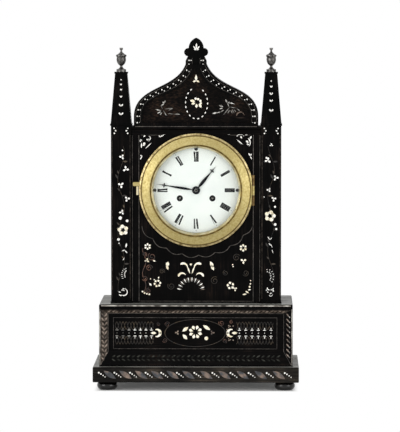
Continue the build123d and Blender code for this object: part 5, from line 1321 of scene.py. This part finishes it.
# Painted highlight: a grey steel ring on the blued boss of the minute hand.
boss_front = front_of("minute_hand")
turned("minute_hand_collet", COLLET, boss_front, 0.0, DIAL_Z, grey_steel_and_highlight, "minute_group")
for train in ("going", "strike"):
    arbor, group = f"{train}_winding_arbor", f"{train}_arbor_group"
    tip_x = math.copysign(WINDING_SPREAD, sum(corner.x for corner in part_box(arbor)))
    turned(f"{train}_arbor_tip", TIP, front_of(arbor), tip_x, WINDING_Z, grey_steel_and_highlight, group)

STAR_SHARE = 0.79
STAR_POINT, STAR_POINT_WIDTH, STAR_BOSS = 3.3, 1.7, 1.0
for label, length, turn, clearance in (("hour", 41.0, 39.5, 1.5), ("minute", 52.7, 279.0, 2.5)):
    bearing = 90 - turn
    middle = around(0.0, DIAL_Z, STAR_SHARE * length, bearing)
    points = [(*middle, STAR_POINT, STAR_POINT_WIDTH, bearing + quarter) for quarter in range(0, 360, 90)]
    star = gather((leaf, points), (dot, [(*middle, STAR_BOSS)]))
    inlay(f"{label}_hand_star", star, flat(DIAL_FRONT - clearance), blued, body=f"{label}_group")
print("dark steel, worn ring and two stars")

# %% [markdown]
# The photograph was taken straight on with a long lens, a little above the middle of the clock. The
# camera stands four metres away, one degree to the right and four degrees up, and its shift puts the
# clock where it stands in the picture, which is 400 by 432 pixels. A camera could be set by eye, but
# these numbers were worked out from points of the photograph and can be checked.

# %% Camera
PICTURE_HEIGHT = 432.0
AIM = Vector((0.0, 0.0, 0.226))
CAMERA_DISTANCE = 4.0
CAMERA_AZIMUTH = math.radians(1.05)
CAMERA_ELEVATION = math.radians(4.03)
FOCAL_PIXELS = 3072.0
SENSOR_MM = 24.0
MIDDLE_OFF_PIXELS = (-3.3, -4.1)

towards = Vector((
    math.sin(CAMERA_AZIMUTH) * math.cos(CAMERA_ELEVATION),
    -math.cos(CAMERA_AZIMUTH) * math.cos(CAMERA_ELEVATION),
    math.sin(CAMERA_ELEVATION)))
lens = bpy.data.cameras.new("Camera")
lens.sensor_fit = "VERTICAL"
lens.sensor_height = SENSOR_MM
lens.lens = SENSOR_MM * FOCAL_PIXELS / PICTURE_HEIGHT
lens.shift_x = -MIDDLE_OFF_PIXELS[0] / PICTURE_HEIGHT
lens.shift_y = MIDDLE_OFF_PIXELS[1] / PICTURE_HEIGHT
camera = bpy.data.objects.new("Camera", lens)
camera.location = AIM + CAMERA_DISTANCE * towards
camera.rotation_euler = (-towards).to_track_quat("-Z", "Y").to_euler()
scene.collection.objects.link(camera)
scene.camera = camera
print("camera at", [round(c, 3) for c in camera.location])

# %% [markdown]
# Soft studio light: a broad panel on each side in front, a weak one above, and a pale room. What the
# camera, mirrors and glass see of the room is plain white. The light that falls on the clock is a little
# weaker. Broad panels give the polish long soft reflections, where a small lamp would leave hard spots.

# %% Light
ROOM_LEVEL = 0.72


def seen_rays(tree):
    """1 for what is seen directly, in a mirror or through glass, and 0 for light that falls on things."""
    path = add(tree, "ShaderNodeLightPath").outputs
    seen = path["Is Camera Ray"]
    for kind in ("Is Transmission Ray", "Is Glossy Ray"):
        seen = add(tree, "ShaderNodeMath", {0: seen, 1: path[kind]}, operation="MAXIMUM").outputs[0]
    return seen


scene.view_settings.view_transform = "Standard"
room = bpy.data.worlds.new("Room")
room.use_nodes = True
room_tree = room.node_tree
room_tree.nodes.clear()
level = add(room_tree, "ShaderNodeMapRange", {
    "Value": seen_rays(room_tree), "To Min": ROOM_LEVEL, "To Max": 1.0})
sky = add(room_tree, "ShaderNodeBackground", {
    "Color": linear("ffffff"), "Strength": level.outputs["Result"]})
add(room_tree, "ShaderNodeOutputWorld", {"Surface": sky.outputs["Background"]})
scene.world = room


def lamp(name, place, size, power):
    """Square soft panel that faces the middle of the clock."""
    data = bpy.data.lights.new(name, "AREA")
    data.size = size
    data.energy = power
    panel = bpy.data.objects.new(name, data)
    panel.location = place
    panel.rotation_euler = (AIM - Vector(place)).to_track_quat("-Z", "Y").to_euler()
    scene.collection.objects.link(panel)


lamp("Top panel", (-0.4, -1.2, 1.9), size=1.2, power=4.0)
lamp("Left panel", (-1.6, -1.7, 0.6), size=1.2, power=20.0)
lamp("Right panel", (1.7, -1.7, 0.3), size=1.2, power=18.0)
print("lamps", [light.name for light in bpy.data.lights])

# %% [markdown]
# The floor is white paper. Away from the clock it turns into plain white for what the camera, mirrors and
# glass see, so that no horizon shows. Under the clock it stays an ordinary surface that catches the
# shadow, with a weak white glow for the camera added, painted light that lifts the shadow towards white.

# %% Floor
FLOOR_HALF = 12.0
SHADOW_HALF_MM = (121.0, 62.0)
SHADOW_FADE_MM = 12.0
# Painted light: the share of white glow kept in the shadow under the clock.
SHADOW_LIFT = 0.06
floor_mesh = bpy.data.meshes.new("Floor")
floor_mesh.from_pydata(
    [(x * FLOOR_HALF, y * FLOOR_HALF, 0.0) for x, y in ((-1, -1), (1, -1), (1, 1), (-1, 1))],
    [], [(0, 1, 2, 3)])
floor = bpy.data.objects.new("Floor", floor_mesh)
scene.collection.objects.link(floor)
paper, tree, place = bare_finish("Paper, white, matt")
matt = add(tree, "ShaderNodeBsdfPrincipled", {
    "Base Color": linear("f4f4f2"), "Roughness": 0.9}).outputs["BSDF"]
spot = add(tree, "ShaderNodeSeparateXYZ", {"Vector": place}).outputs
past = []
for axis, half in zip("XY", SHADOW_HALF_MM):
    distance = add(tree, "ShaderNodeMath", {0: spot[axis]}, operation="ABSOLUTE").outputs[0]
    past.append(add(tree, "ShaderNodeMath", {0: distance, 1: half * MM}, operation="SUBTRACT").outputs[0])
beyond = add(tree, "ShaderNodeMath", {0: past[0], 1: past[1]}, operation="MAXIMUM").outputs[0]
away = add(tree, "ShaderNodeMapRange", {
    "Value": beyond, "From Max": SHADOW_FADE_MM * MM, "To Min": SHADOW_LIFT, "To Max": 1.0},
    interpolation_type="SMOOTHSTEP").outputs["Result"]
amount = add(tree, "ShaderNodeMath", {0: away, 1: seen_rays(tree)}, operation="MULTIPLY").outputs[0]
white = add(tree, "ShaderNodeEmission", {"Color": linear("ffffff"), "Strength": 1.0}).outputs["Emission"]
blend = add(tree, "ShaderNodeMixShader", {0: amount, 1: matt, 2: white}).outputs["Shader"]
add(tree, "ShaderNodeOutputMaterial", {"Surface": blend})
floor_mesh.materials.append(paper)
print("floor made")
